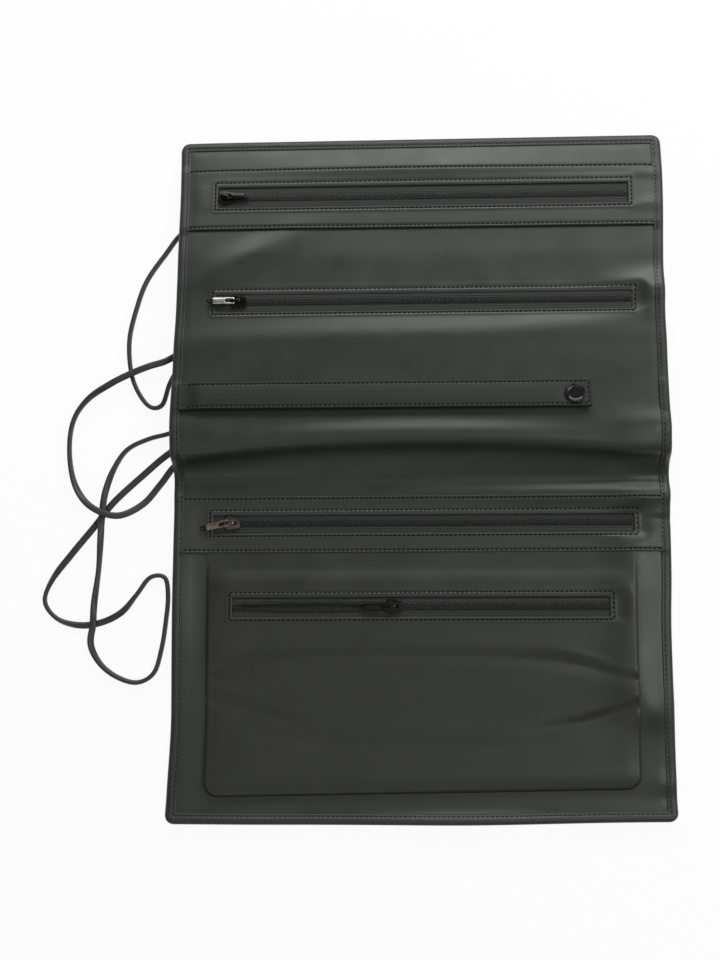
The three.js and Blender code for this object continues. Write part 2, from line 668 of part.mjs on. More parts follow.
// The patch on the back of the upper panel that both ties are sewn under.
const tieTabLeft = -tieTabFromMiddle - tieTabLength / 2;
const tieTabHigh = -sheetThickness - gap;
piece(upperPanel, 'tie_tab', slab(
  outline(tieTabLeft, tieTabLeft + tieTabLength, tieTabTop, tieTabTop + tieTabDepth),
  tieTabHigh - tieTabThickness,
  tieTabHigh,
), leatherFinish);

// A flat tie: a ring of eight points at each place of its route, turned from on edge to flat as its lay says.
function tie(name, route) {
  const wide = tieWidth / 2;
  const thin = tieThickness / 2;
  const section = [
    [wide, thin - tieCorner], [wide - tieCorner, thin], [tieCorner - wide, thin], [-wide, thin - tieCorner],
    [-wide, tieCorner - thin], [tieCorner - wide, -thin], [wide - tieCorner, -thin], [wide, tieCorner - thin],
  ];
  const middles = route.map(([x, y, lift, lay]) => {
    const turn = (1 - lay) * Math.PI / 2;
    const rest = wide * Math.sin(turn) + thin * Math.cos(turn);
    return new THREE.Vector3(x, y, lift + tieClearance + Math.min(rest, wide));
  });
  const corners = [];
  middles.forEach((middle, i) => {
    const before = middles[Math.max(i - 1, 0)];
    const after = middles[Math.min(i + 1, middles.length - 1)];
    const along = after.clone().sub(before).normalize();
    const side = new THREE.Vector3(along.y, -along.x, 0).normalize();
    const over = side.clone().cross(along);
    const turn = (1 - route[i][3]) * Math.PI / 2;
    const across = side.clone().multiplyScalar(Math.cos(turn)).addScaledVector(over, Math.sin(turn));
    const through = along.clone().cross(across);
    section.forEach(([a, b]) => {
      corners.push(middle.clone().addScaledVector(across, a).addScaledVector(through, b));
    });
  });
  const count = section.length;
  const faces = [];
  for (let ring = 0; ring < middles.length - 1; ring += 1) {
    for (let i = 0; i < count; i += 1) {
      const a = ring * count + i;
      const b = ring * count + ((i + 1) % count);
      faces.push(a, b, b + count, a, b + count, a + count);
    }
  }
  const last = (middles.length - 1) * count;
  for (let i = 1; i < count - 1; i += 1) {
    faces.push(0, i + 1, i);
    faces.push(last, last + i, last + i + 1);
  }
  const geometry = new THREE.BufferGeometry().setFromPoints(corners);
  geometry.setIndex(faces);
  piece(roll, name, geometry, tieFinish);
  const end = middles[middles.length - 1];
  const heading = end.clone().sub(middles[middles.length - 2]).setZ(0).normalize();
  const knot = new THREE.SphereGeometry(1, knotSides, knotRings);
  knot.scale(knotLength / 2, knotWidth / 2, knotHeight / 2);
  const knotMesh = piece(roll, `${name}_knot`, knot, tieFinish);
  knotMesh.position.copy(end).addScaledVector(heading, knotLength / 2 + gap);
  knotMesh.position.z = knotHeight / 2 + tieClearance;
  knotMesh.rotation.z = Math.atan2(heading.y, heading.x);
}
tie('tie_1', tie1Route);
tie('tie_2', tie2Route);

export default roll;
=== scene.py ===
# A jewelry roll of black imitation leather. It lies open on a white table, with its inside up.
import json
import math

import bmesh
import bpy
import numpy as np
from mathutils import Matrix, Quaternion, Vector


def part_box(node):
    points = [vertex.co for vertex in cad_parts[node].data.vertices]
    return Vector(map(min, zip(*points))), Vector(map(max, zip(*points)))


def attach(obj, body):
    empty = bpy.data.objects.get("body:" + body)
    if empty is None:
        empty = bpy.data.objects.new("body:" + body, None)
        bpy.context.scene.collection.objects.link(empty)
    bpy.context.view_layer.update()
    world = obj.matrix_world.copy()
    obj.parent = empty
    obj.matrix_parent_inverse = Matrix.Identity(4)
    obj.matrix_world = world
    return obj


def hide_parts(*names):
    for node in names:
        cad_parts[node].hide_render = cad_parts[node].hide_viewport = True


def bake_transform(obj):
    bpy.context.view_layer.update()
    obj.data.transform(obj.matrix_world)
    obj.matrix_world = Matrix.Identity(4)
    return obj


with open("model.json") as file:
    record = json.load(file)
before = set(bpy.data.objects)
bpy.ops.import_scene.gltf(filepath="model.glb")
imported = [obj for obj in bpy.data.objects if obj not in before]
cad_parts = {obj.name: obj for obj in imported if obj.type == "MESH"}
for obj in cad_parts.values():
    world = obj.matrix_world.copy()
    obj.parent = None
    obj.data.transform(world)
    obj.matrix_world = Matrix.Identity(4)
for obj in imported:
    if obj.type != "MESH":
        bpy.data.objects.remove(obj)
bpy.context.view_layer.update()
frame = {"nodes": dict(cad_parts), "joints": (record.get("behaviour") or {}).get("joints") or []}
MM = 0.001


# The table, the light and the viewpoint.
# A white table top that keeps a faint shadow, a wide lamp beyond the roll's top edge like a window, and weak
# ones from the right, the front and the ceiling. The camera hangs almost straight over the roll.
def set_inputs(tree, node, inputs):
    """Gives a node's inputs their values, or joins them to the outputs of other nodes."""
    for name, value in inputs.items():
        if isinstance(value, bpy.types.NodeSocket):
            tree.links.new(value, node.inputs[name])
        else:
            node.inputs[name].default_value = value


def add_node(tree, kind, inputs=None, **settings):
    """Adds a node of one kind to a tree, with its settings and its inputs."""
    node = tree.nodes.new("ShaderNode" + kind)
    for name, value in settings.items():
        setattr(node, name, value)
    set_inputs(tree, node, inputs or {})
    return node


def new_material(name):
    """A new material, with its node tree and its shader."""
    material = bpy.data.materials.new(name)
    material.use_nodes = True
    return material, material.node_tree, material.node_tree.nodes["Principled BSDF"]


WHITE, TABLE_WHITE, TABLE_GLOW, ROOM_LIGHT = (1, 1, 1, 1), (0.86, 0.86, 0.86, 1), 0.92, 0.26
bpy.ops.mesh.primitive_plane_add(size=8, location=(0, 0, -0.0004))
table = bpy.context.object
table.name = "table_top"
table_look, tree, shader = new_material("White table")
set_inputs(tree, shader, {"Base Color": TABLE_WHITE, "Roughness": 0.7})
glow = add_node(tree, "Emission", {"Color": WHITE, "Strength": 1})
rays = add_node(tree, "LightPath").outputs
seen = add_node(tree, "Math", {0: rays["Is Camera Ray"], 1: rays["Is Glossy Ray"]}, operation="MAXIMUM")
share = add_node(tree, "Math", {0: seen.outputs[0], 1: TABLE_GLOW}, operation="MULTIPLY")
both = add_node(tree, "MixShader", {0: share.outputs[0], 1: shader.outputs[0], 2: glow.outputs[0]})
set_inputs(tree, tree.nodes["Material Output"], {"Surface": both.outputs[0]})
table.data.materials.append(table_look)

room = bpy.data.worlds.new("Room")
room.use_nodes = True
bpy.context.scene.world = room
tree = room.node_tree
rays = add_node(tree, "LightPath").outputs
level = add_node(tree, "Mix", {0: rays["Is Camera Ray"], 2: ROOM_LIGHT, 3: 1}, data_type="FLOAT")
set_inputs(tree, tree.nodes["Background"], {"Color": WHITE, "Strength": level.outputs[0]})

# Each lamp's place, its size and its power. All of them point at the roll's middle.
LAMPS = (
    ("window_lamp", (0.2, 1.14, 0.78), (1.7, 0.55), 16.5),
    ("side_lamp", (0.85, 0.05, 1.1), (0.5, 0.8), 4.8),
    ("front_lamp", (-0.3, -1.1, 0.9), (1.0, 0.6), 1.5),
    ("ceiling_lamp", (0, -0.3, 1.7), (1.4, 1.2), 2.3),
)
for lamp_name, place, lamp_size, power in LAMPS:
    light = bpy.data.lights.new(lamp_name, "AREA")
    light.shape = "RECTANGLE"
    light.size, light.size_y = lamp_size
    light.energy = power
    lamp = bpy.data.objects.new(lamp_name, light)
    bpy.context.scene.collection.objects.link(lamp)
    lamp.location = place
    lamp.rotation_mode = "QUATERNION"
    lamp.rotation_quaternion = (-Vector(place)).to_track_quat("-Z", "Y")

bpy.context.scene.view_settings.view_transform = "Standard"
camera_turn = Vector((0.12293, 0.03332, -0.00455))
camera_data = bpy.data.cameras.new("camera")
camera_data.sensor_width = 36
camera_data.lens = 44.25
camera = bpy.data.objects.new("camera", camera_data)
bpy.context.scene.collection.objects.link(camera)
camera.location = (-0.01099, -0.08419, 0.63835)
camera.rotation_mode = "QUATERNION"
camera.rotation_quaternion = Quaternion(camera_turn.normalized(), camera_turn.length)
bpy.context.scene.camera = camera


# The cover.
# One sheet of black imitation leather, 0.9 mm thick, that makes the whole outside of the roll. It is cut flat
# on the bench, and its edges are sewn into the binding.
WIDTH, BINDING = 266, 5.5
HALF, INNER = WIDTH / 2, WIDTH / 2 - BINDING
THICK, SKIN = 3.4, 0.9
# Down the roll from the top edge: the flaps, folds and panels between creases.
LENGTHS = (69, 7, 91, 30, 93, 14, 72.5)
STARTS = np.concatenate([[0], np.cumsum(LENGTHS)])
TOP_FOLD, UPPER, MIDDLE_FOLD, LOWER, BOTTOM_FOLD, BOTTOM_FLAP, END = STARTS[1:]
CREASES = ("top_flap_close", "top_fold_turn", "middle_fold_turn", "halves_close", "bottom_fold_turn",
           "bottom_flap_close")
TOP_RISE = math.radians(7.5)
joints = {joint["name"]: joint for joint in frame["joints"]}
crease_places = [np.array(joints[name]["pos_m"][1:]) / MM for name in CREASES]
first = crease_places[0] + LENGTHS[0] * np.array((math.cos(TOP_RISE), -math.sin(TOP_RISE)))
last = crease_places[-1] - np.array((LENGTHS[-1], 0))
profile = np.array([first, *crease_places, last])

# The roll's line from the side, as (y, height) for each run from the top edge, rounded at its creases.
ROUNDING = 9
fine_runs = np.arange(-20, END + 20, 0.5)


def straight_line(runs):
    before, after = np.minimum(runs, 0), np.maximum(runs - END, 0)
    y = np.interp(runs, STARTS, profile[:, 0]) - before * math.cos(TOP_RISE) - after
    z = np.interp(runs, STARTS, profile[:, 1]) + before * math.sin(TOP_RISE)
    return np.array([y, z])


shifts = np.arange(-ROUNDING, ROUNDING + 0.5, 0.5)
shares = 1 - abs(shifts) / ROUNDING
side_line = sum(s * straight_line(fine_runs + k) for k, s in zip(shifts, shares)) / shares.sum()
side_slope = np.gradient(side_line, fine_runs, axis=1)
side_slope /= np.hypot(*side_slope)
side_normal = np.array([side_slope[1], -side_slope[0]])

ZIP_LINES = (34, UPPER + 19, LOWER + 22.8, LOWER + 67.8)
STRAP_LINE = UPPER + 72.5
# Each stretch that lies flat, along a zip or under the strap: its line, and how far it reaches to both sides.
FLAT_LINES = (*zip(ZIP_LINES, (117, 117, 117, 103)), (STRAP_LINE, 95))
# Low swells of the leather: height, width down the roll, run of the crest, how far the crest leans and bows,
# and its place and reach across the roll.
SWELLS = (
    (1.2, 6.5, 17, 0, 0, 0, 75),
    (0.5, 3.0, 22, 0, 0, 123, 7),
    (0.7, 3.5, 40, 0, 0, 122, 8),
    (-1.0, 30.0, 30, 0, 0, -133, 14),
    (-0.6, 13.0, 64, 0, 0, 50, 100),
    (1.5, 9.0, 71, -60, 0, -98, 30),
    (3.4, 10.0, 91, -4, 0, 128, 24),
    (-1.0, 2.6, 97.5, 0, 0, 124, 9),
    (2.3, 10.0, 116, 0, 3, 0, 150),
    (0.8, 7.0, 109, -4, 0, 85, 40),
    (4.1, 6.4, 171, 0, 8, 0, 500),
    (2.6, 10.0, 169, 0, 0, 129, 30),
    (2.6, 12.0, 175, 0, 0, -129, 42),
    (1.4, 5.5, 204, 0, 0, 0, 500),
    (1.7, 6.0, 205, 0, 0, 90, 60),
    (1.5, 9.0, 206, 0, 0, 129, 24),
    (0.9, 8.0, 219.3, 0, 0, 126, 9),
    (-1.4, 2.8, 219.3, 0, 0, 126, 9),
    (3.2, 60.0, 250, 0, 0, 113, 12),
    (2.0, 14.0, 304, 0, 0, 113, 12),
    (2.7, 11.0, 319, 0, 0, 120, 12),
    (0.9, 5.0, 357, 0, 0, 126, 8),
    (4.3, 60.0, 262, 0, 0, -133, 11),
    (2.7, 6.5, 376, 0, 0, 0, 500),
    (1.9, 6.0, 375, 0, 0, 20, 52),
    (1.0, 6.0, 375, 0, 0, -90, 30),
)


def bell(value, middle, width, power=2):
    return np.exp(-(abs((value - middle) / width) ** power))


def smooth(value, low, high):
    share = np.clip((value - low) / (high - low), 0, 1)
    return share * share * (3 - 2 * share)


def swell(x, run):
    """How far the leather stands over the side line. Zips and strap lie flat, so it is nothing there."""
    total = np.zeros_like(run)
    for height, width, crest, lean, bow, place, reach in SWELLS:
        across = (x - place) / HALF
        total += height * bell(run, crest + lean * across + bow * across**2, width) * bell(x, place, reach)
    for line, half in FLAT_LINES:
        total *= 1 - bell(run, line, 8, 4) * (1 - smooth(abs(x), half, half + 9))
    return total


def wander(x, run):
    """How far the edges stray from straight lines, as the sewn roll lies."""
    right, left = smooth(x, 95, HALF), smooth(-x, 95, HALF)
    top, bottom = 1 - smooth(run, 0, 24), smooth(run, 356, END)
    across = right * (3.0 * (1 - smooth(run, 15, 95)) + 1.3 * bell(run, 222, 42, 4))
    across += left * (0.9 * bell(run, 60, 55, 4) - 0.9 * bell(run, 158, 20) - 2.4 * smooth(run, 320, END))
    down = bottom * 1.75 * (1 - smooth(x, 10, HALF)) - top * (2.0 + 0.4 * x / HALF)
    return across, down


def lay(points):
    """Lays bench points (x, minus the run, height), in mm, on the roll as it lies, in metres."""
    x, run = points[:, 0], -points[:, 1]
    height = points[:, 2] + swell(x, run)
    across, down = wander(x, run)
    x, run = x + across, run + down
    y = np.interp(run, fine_runs, side_line[0]) + height * np.interp(run, fine_runs, side_normal[0])
    z = np.interp(run, fine_runs, side_line[1]) + height * np.interp(run, fine_runs, side_normal[1])
    return np.column_stack([x, y, z]) * MM


def get_points(piece):
    points = np.empty(len(piece.data.vertices) * 3)
    piece.data.vertices.foreach_get("co", points)
    return points.reshape(-1, 3)


def set_points(piece, points):
    piece.data.vertices.foreach_set("co", np.ascontiguousarray(points, dtype=np.float32).ravel())
    piece.data.update()


EDGE_STEPS = (0, 0.12, 0.35, 0.7, 1.1, 1.5, 1.9, 2.3, 2.7, 3.1, 3.5, 4.2)
NEAR_END = 0.3


def lines_between(start, end, step, edges=()):
    """Grid lines about a step apart, and closer ones beside each edge, given as (place, which way)."""
    places = list(np.linspace(start, end, max(2, round((end - start) / step) + 1)))
    for edge, way in edges:
        close = [edge + way * d for d in EDGE_STEPS]
        places = [p for p in places if p < min(close) - step / 4 or p > max(close) + step / 4] + close
    inside = [p for p in places if start + 0.05 < p < end - 0.05]
    return np.array([start, *sorted({round(p, 4) for p in inside}), end])


def stretch_lines(start, end, step, edges=()):
    """Grid lines down a stretch of the roll, with one more close to each of its ends."""
    return np.array(sorted({*lines_between(start, end, step, edges), start + NEAR_END, end - NEAR_END}))


def choose(piece, *more):
    """Selects just these pieces, the first one as the active piece."""
    bpy.ops.object.select_all(action="DESELECT")
    for each in (piece, *more):
        each.select_set(True)
    bpy.context.view_layer.objects.active = piece


def shaped_grid(name, points):
    """A sheet of faces, with its points where a table of columns of points puts them."""
    columns, rows = len(points), len(points[0])
    bpy.ops.object.select_all(action="DESELECT")
    bpy.ops.mesh.primitive_grid_add(x_subdivisions=columns - 1, y_subdivisions=rows - 1, size=1)
    piece = bpy.context.object
    piece.name = piece.data.name = name
    flat = get_points(piece)
    column = np.rint((flat[:, 0] + 0.5) * (columns - 1)).astype(int)
    row = np.rint((flat[:, 1] + 0.5) * (rows - 1)).astype(int)
    set_points(piece, np.array(points, float)[column, row])
    return piece


def drop_faces(piece, unwanted):
    """Deletes the active piece's faces whose middles are unwanted."""
    bpy.ops.object.mode_set(mode="EDIT")
    mesh = bmesh.from_edit_mesh(piece.data)
    for face in mesh.faces:
        face.select_set(unwanted(face.calc_center_median()))
    bmesh.update_edit_mesh(piece.data)
    bpy.ops.mesh.delete(type="FACE")
    bpy.ops.object.mode_set(mode="OBJECT")


def apply_modifier(piece, kind, **settings):
    """Gives the active piece a modifier and applies it."""
    modifier = piece.modifiers.new(kind, kind)
    for name, value in settings.items():
        setattr(modifier, name, value)
    bpy.ops.object.modifier_apply(modifier=modifier.name)


def cut_leather(name, x_lines, run_lines, height_of, holes=()):
    """A piece cut on the bench: a grid with the given lines and heights, without the faces in its holes."""
    x, run = (places.ravel() for places in np.meshgrid(x_lines, run_lines[::-1], indexing="ij"))
    points = np.column_stack([x, -run, height_of(x, run)])
    piece = shaped_grid(name, points.reshape(len(x_lines), len(run_lines), 3))
    if holes:
        drop_faces(piece, lambda middle: any(l < middle.x < r and t < -middle.y < b for l, r, t, b in holes))
    return piece


def finish_leather(piece, thickness, material, sharpest=50):
    """Lays a cut piece on the roll and gives it its wall, if it needs one, downwards from its face."""
    set_points(piece, lay(get_points(piece)))
    choose(piece)
    if thickness:
        apply_modifier(piece, "SOLIDIFY", thickness=thickness * MM, offset=-1)
    bpy.ops.object.shade_smooth_by_angle(angle=math.radians(sharpest))
    piece.data.materials.clear()
    piece.data.materials.append(material)


# The surface of the imitation leathers: fine pebbles, faint mottle and soft creases.
grain = bpy.data.node_groups.new("Leather grain", "ShaderNodeTree")
for socket in ("Height", "Mottle"):
    grain.interface.new_socket(name=socket, in_out="OUTPUT", socket_type="NodeSocketFloat")
place = add_node(grain, "TexCoord").outputs["Object"]
pebbles = add_node(grain, "TexVoronoi", {"Vector": place, "Scale": 950, "Smoothness": 0.6},
                   feature="SMOOTH_F1")
cloudy = add_node(grain, "TexNoise", {"Vector": place, "Scale": 55, "Detail": 5, "Roughness": 0.55})
height = add_node(grain, "Math", {0: pebbles.outputs["Distance"], 1: 0.1, 2: cloudy.outputs["Fac"]},
                  operation="MULTIPLY_ADD")
set_inputs(grain, grain.nodes.new("NodeGroupOutput"),
           {"Height": height.outputs[0], "Mottle": cloudy.outputs["Fac"]})


def leather(name, colour, roughness, bump=0.22):
    """A finished leather of one colour, with the shared surface."""
    material, tree, shader = new_material(name)
    surface = add_node(tree, "Group", node_tree=grain).outputs
    mottle = surface["Mottle"]
    dark, light = ((*[c * share for c in colour], 1) for share in (0.75, 1.25))
    tint = add_node(tree, "Mix", {0: mottle, 6: dark, 7: light}, data_type="RGBA")
    rough = add_node(tree, "MapRange", {"Value": mottle, "From Min": 0.3, "From Max": 0.7,
                                        "To Min": roughness - 0.05, "To Max": roughness + 0.05})
    relief = add_node(tree, "Bump", {"Strength": bump, "Distance": 0.0005, "Height": surface["Height"]})
    set_inputs(tree, shader, {"Base Color": tint.outputs[2], "Roughness": rough.outputs["Result"],
                              "Normal": relief.outputs["Normal"], "Specular Tint": (0.92, 1, 0.9, 1)})
    return material


cover_leather = leather("Cover leather", (0.019, 0.021, 0.018), 0.48, 0.35)

# The skins are modelled in six stretches. Each has its name, the parts of the frame that it stands for, where
# it starts and ends, the bodies before and after its crease, the crease, and how far from it the skin bends.
SEAMS = (TOP_FOLD + 3.5, UPPER + 72, MIDDLE_FOLD + 15, LOWER + 30, BOTTOM_FOLD + 7)
UNDER = 1.8
STRETCHES = (
    ("top_flap", ("top_flap", "top_fold"), UNDER, SEAMS[0], "top_flap", "top_fold", TOP_FOLD, 3.4),
    ("top_crease", ("upper_panel",), SEAMS[0], SEAMS[1], "top_fold", "upper_panel", UPPER, 3.4),
    ("ridge", ("middle_fold",), SEAMS[1], SEAMS[2], "upper_panel", "middle_fold", MIDDLE_FOLD, 8),
    ("valley", ("lower_panel",), SEAMS[2], SEAMS[3], "middle_fold", "lower_panel", LOWER, 7),
    ("bottom_crease", ("bottom_fold",), SEAMS[3], SEAMS[4], "lower_panel", "bottom_fold", BOTTOM_FOLD, 6),
    ("bottom_flap", ("bottom_flap",), SEAMS[4], END - UNDER, "bottom_fold", "bottom_flap", BOTTOM_FLAP, 6),
)


def bend_at(piece, before, after, crease, reach):
    """Works out the ends of a reach to both sides of one crease, but only bakes the piece's place into its
    points: the piece does not bend.
    """
    ends = lay(np.array([[0, -(crease - reach), 0], [0, -(crease + reach), 0]], float))
    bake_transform(piece)


def edge_gap(x, run):
    """Distance inside the roll's outer edge."""
    return np.minimum(HALF - abs(x), np.minimum(run, END - run))


TUCK, TUCK_REACH = 0.7, 2.5


def cover_height(x, run):
    """The cover's edges lie a little higher where they are tucked into the binding."""
    return SKIN - THICK + TUCK * (1 - smooth(edge_gap(x, run), BINDING, BINDING + TUCK_REACH))


for name, parts, start, end, *bend in STRETCHES:
    x_lines = lines_between(UNDER - HALF, HALF - UNDER, 5, ((-INNER, 1), (INNER, -1)))
    run_lines = stretch_lines(start, end, 2)
    piece = cut_leather("cover_skin_" + name, x_lines, run_lines, cover_height)
    finish_leather(piece, SKIN, cover_leather)
    bend_at(piece, *bend)
    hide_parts(*("cover_" + part for part in parts))


# The padding.
# A thin sheet of grey foam between cover and lining, in four pieces that stop short of the creases.
def shade_between(tree, mask, dark, light):
    """A colour that goes from dark to light as a mask rises."""
    shade = add_node(tree, "ValToRGB", {0: mask})
    for stop, colour in zip(shade.color_ramp.elements, (dark, light)):
        stop.color = (*colour, 1)
    return shade.outputs[0]


def speckled(name, kind, texture, dark, light, smoothest, roughest, **more):
    """A material whose colour and roughness vary with one fine texture, like dust or handling wear."""
    material, tree, shader = new_material(name)
    place = add_node(tree, "TexCoord").outputs["Object"]
    specks = add_node(tree, kind, {"Vector": place, **texture}).outputs[0]
    rough = add_node(tree, "MapRange", {"Value": specks, "To Min": smoothest, "To Max": roughest})
    set_inputs(tree, shader, {"Base Color": shade_between(tree, specks, dark, light),
                              "Roughness": rough.outputs["Result"], **more})
    return material


def window_edges(windows):
    """The edges of windows in a piece, across the roll and down it, each with the way to the leather."""
    return ([edge for left, right, _, _ in windows for edge in ((left, -1), (right, 1))],
            [edge for _, _, top, bottom in windows for edge in ((top, -1), (bottom, 1))])


def level(height):
    """The height of something flat, the same at every place."""
    return lambda x, run: np.full_like(x, height)


foam = speckled("Grey foam", "TexVoronoi", {"Scale": 1400}, (0.05, 0.05, 0.05), (0.16, 0.16, 0.16), 0.9, 0.9)

FOAM_EDGE, FOAM_TOP, FOAM_THICK = 5, -1.1, 1.2
# The left, right, top and bottom edges of each zip's window.
OPENINGS = (
    (-110.5, 114.3, 28, 40),
    (-110.6, 115.0, UPPER + 15, UPPER + 24.5),
    (-111.4, 113.6, LOWER + 18.9, LOWER + 28.3),
    (-100.2, 99.8, LOWER + 63.2, LOWER + 73.4),
)
# The room that a slider's lower plate runs in: in the foam under zip 2, and in the lining under zips 1 and 3.
SLIDER_RUNS = {
    "upper_panel": (-113.5, 118, UPPER + 14.4, UPPER + 24.9),
    "top_flap": (-112, 116, 29.6, 38.4),
    "valley": (-113, 116, LOWER + 18.4, LOWER + 27.2),
}
FOAM = (
    ("top_flap", FOAM_EDGE, TOP_FOLD - 6, ()),
    ("upper_panel", UPPER + 6, MIDDLE_FOLD - 9, (SLIDER_RUNS["upper_panel"],)),
    ("lower_panel", LOWER + 8, BOTTOM_FOLD - 7, ()),
    ("bottom_flap", BOTTOM_FLAP + 7, END - FOAM_EDGE, ()),
)
for panel, start, end, holes in FOAM:
    x_edges, run_edges = window_edges(holes)
    x_lines = lines_between(FOAM_EDGE - HALF, HALF - FOAM_EDGE, 6, x_edges)
    run_lines = lines_between(start, end, 3, run_edges)
    piece = cut_leather("padding_" + panel, x_lines, run_lines, level(FOAM_TOP), holes)
    finish_leather(piece, FOAM_THICK, foam)
    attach(piece, panel)
    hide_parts("interlining_" + panel)


# The lining.
# One sheet of smooth black imitation leather that makes the whole inside. Zip 2 has its window in it, with
# the edges turned under and stitched. The sheet is sewn into the binding all round.
lining_leather = leather("Lining leather", (0.019, 0.0215, 0.018), 0.39)
thread = speckled("Black thread", "TexNoise", {"Scale": 4000}, (0.0025, 0.0025, 0.0025),
                  (0.008, 0.008, 0.008), 0.8, 0.8, **{"Specular IOR Level": 0.15})

STITCH, STITCH_PITCH, THREAD, THREAD_SIDES = 1.75, 2.5, 0.36, 6
# Along a stitch: the share of its length from its middle, and the thread's girth there.
STITCH_SHAPE = ((-0.5, 0.25), (-0.36, 0.85), (0, 1), (0.36, 0.85), (0.5, 0.25))
# How deep a row of stitches draws the leather in, and how far to both sides.
DRAWN_IN, DRAWN_REACH = 0.42, 0.55
# The stitched rectangle round each zip's window.
SEWN = tuple((l - 2, r + 2, t - 3, b + 1.5) for l, r, t, b in OPENINGS)
LINING_SIDE = HALF - 3.4


def beside(window, x, run):
    """Distance outside a window's edge, and less than nothing inside it."""
    left, right, top, bottom = window
    dx = np.maximum(left - x, x - right)
    dr = np.maximum(top - run, run - bottom)
    return np.where((dx > 0) & (dr > 0), np.hypot(dx, dr), np.maximum(dx, dr))


def turned_edge(gap, radius=0.9):
    """The height of leather turned under: rounded off at its edge."""
    return -radius * (1 - np.sqrt(np.maximum(1 - np.clip(1 - gap / radius, 0, 1) ** 2, 0)))


def sewn_window(number, x, run):
    """The height of leather round a zip's window: doubled, with a round edge and drawn-in stitches."""
    gap, sewn = beside(OPENINGS[number], x, run), beside(SEWN[number], x, run)
    doubled = 0.4 * (1 - smooth(sewn, -0.3, 2.5))
    return doubled + turned_edge(np.maximum(gap, 0)) - DRAWN_IN * bell(sewn, 0.1, DRAWN_REACH)


def along_path(path, step):
    """Places along a path of (x, run) points, about a step apart, with the direction there."""
    path = np.array(path, float)
    lengths = np.concatenate([[0], np.cumsum(np.hypot(*np.diff(path, axis=0).T))])
    count = max(1, int(lengths[-1] / step))
    middles = (np.arange(count) + 0.5) * lengths[-1] / count
    back, places, ahead = (np.column_stack([np.interp(middles + shift, lengths, axis) for axis in path.T])
                           for shift in (-0.05, 0, 0.05))
    way = ahead - back
    return places, way / np.hypot(*way.T)[:, None]


def tube_faces(rings, sides, closed=False):
    """The faces of a tube of rings, with its two ends unless it closes on itself."""
    pairs = [(i * sides, (i + 1) % rings * sides) for i in range(rings if closed else rings - 1)]
    faces = [(a + k, a + (k + 1) % sides, b + (k + 1) % sides, b + k) for a, b in pairs for k in range(sides)]
    if not closed:
        faces += [tuple(range(sides))[::-1], tuple(range((rings - 1) * sides, rings * sides))]
    return faces


def new_piece(name, points, faces, material):
    """A smooth piece of points, in metres, and faces."""
    mesh = bpy.data.meshes.new(name)
    mesh.from_pydata(points.tolist(), [], faces)
    mesh.polygons.foreach_set("use_smooth", [True] * len(faces))
    mesh.materials.append(material)
    piece = bpy.data.objects.new(name, mesh)
    bpy.context.scene.collection.objects.link(piece)
    return piece


def sew_on(piece, name, points, faces, material):
    """Makes something from bench points and joins it to a piece."""
    choose(piece, new_piece(name, lay(points), faces, material))
    bpy.ops.object.join()


def sew(piece, paths, height_of):
    """Adds rows of stitches to a finished piece: short round threads lying in the leather."""
    share, girth = (np.repeat(values, THREAD_SIDES) for values in np.array(STITCH_SHAPE).T)
    turn = np.tile(np.arange(THREAD_SIDES) * 2 * math.pi / THREAD_SIDES, len(STITCH_SHAPE))
    along, aside = STITCH * share, THREAD * girth * np.cos(turn)
    lift = 0.8 * THREAD * girth * np.sin(turn) - 0.45 * share**2
    places, ways = (np.vstack(values) for values in zip(*(along_path(path, STITCH_PITCH) for path in paths)))
    x = places[:, :1] + ways[:, :1] * along - ways[:, 1:] * aside
    run = places[:, 1:] + ways[:, 1:] * along + ways[:, :1] * aside
    points = np.column_stack([x.ravel(), -run.ravel(), np.tile(lift, len(places))])
    points[:, 2] += height_of(points[:, 0], -points[:, 1]) + 0.12
    one_stitch = [face[::-1] for face in tube_faces(len(STITCH_SHAPE), THREAD_SIDES)]
    faces = [tuple(first + k for k in face)
             for first in range(0, len(points), len(share)) for face in one_stitch]
    sew_on(piece, "stitches", points, faces, thread)


def round_path(rectangle):
    """The path of stitches all round a rectangle."""
    left, right, top, bottom = rectangle
    return [(left, top), (right, top), (right, bottom), (left, bottom), (left, top)]


def lining_height(x, run):
    near = (run > OPENINGS[1][2] - 12) & (run < OPENINGS[1][3] + 12)
    height = np.where(near, sewn_window(1, x, run), 0)
    return height - 0.2 * (1 - smooth(edge_gap(x, run), BINDING - 0.5, BINDING + 4))


for name, parts, start, end, *bend in STRETCHES:
    windows = [OPENINGS[1]] if name == "top_crease" else [SLIDER_RUNS[name]] if name in SLIDER_RUNS else []
    x_edges, run_edges = window_edges(windows)
    x_lines = lines_between(-LINING_SIDE, LINING_SIDE, 2.6, [*x_edges, (-INNER, 1), (INNER, -1)])
    run_lines = stretch_lines(start, end, 1.4, run_edges)
    piece = cut_leather("lining_skin_" + name, x_lines, run_lines, lining_height, windows)
    finish_leather(piece, SKIN, lining_leather)
    if name == "top_crease":
        sew(piece, [round_path(SEWN[1])], lining_height)
    bend_at(piece, *bend)
    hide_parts(*("lining_" + part for part in parts))


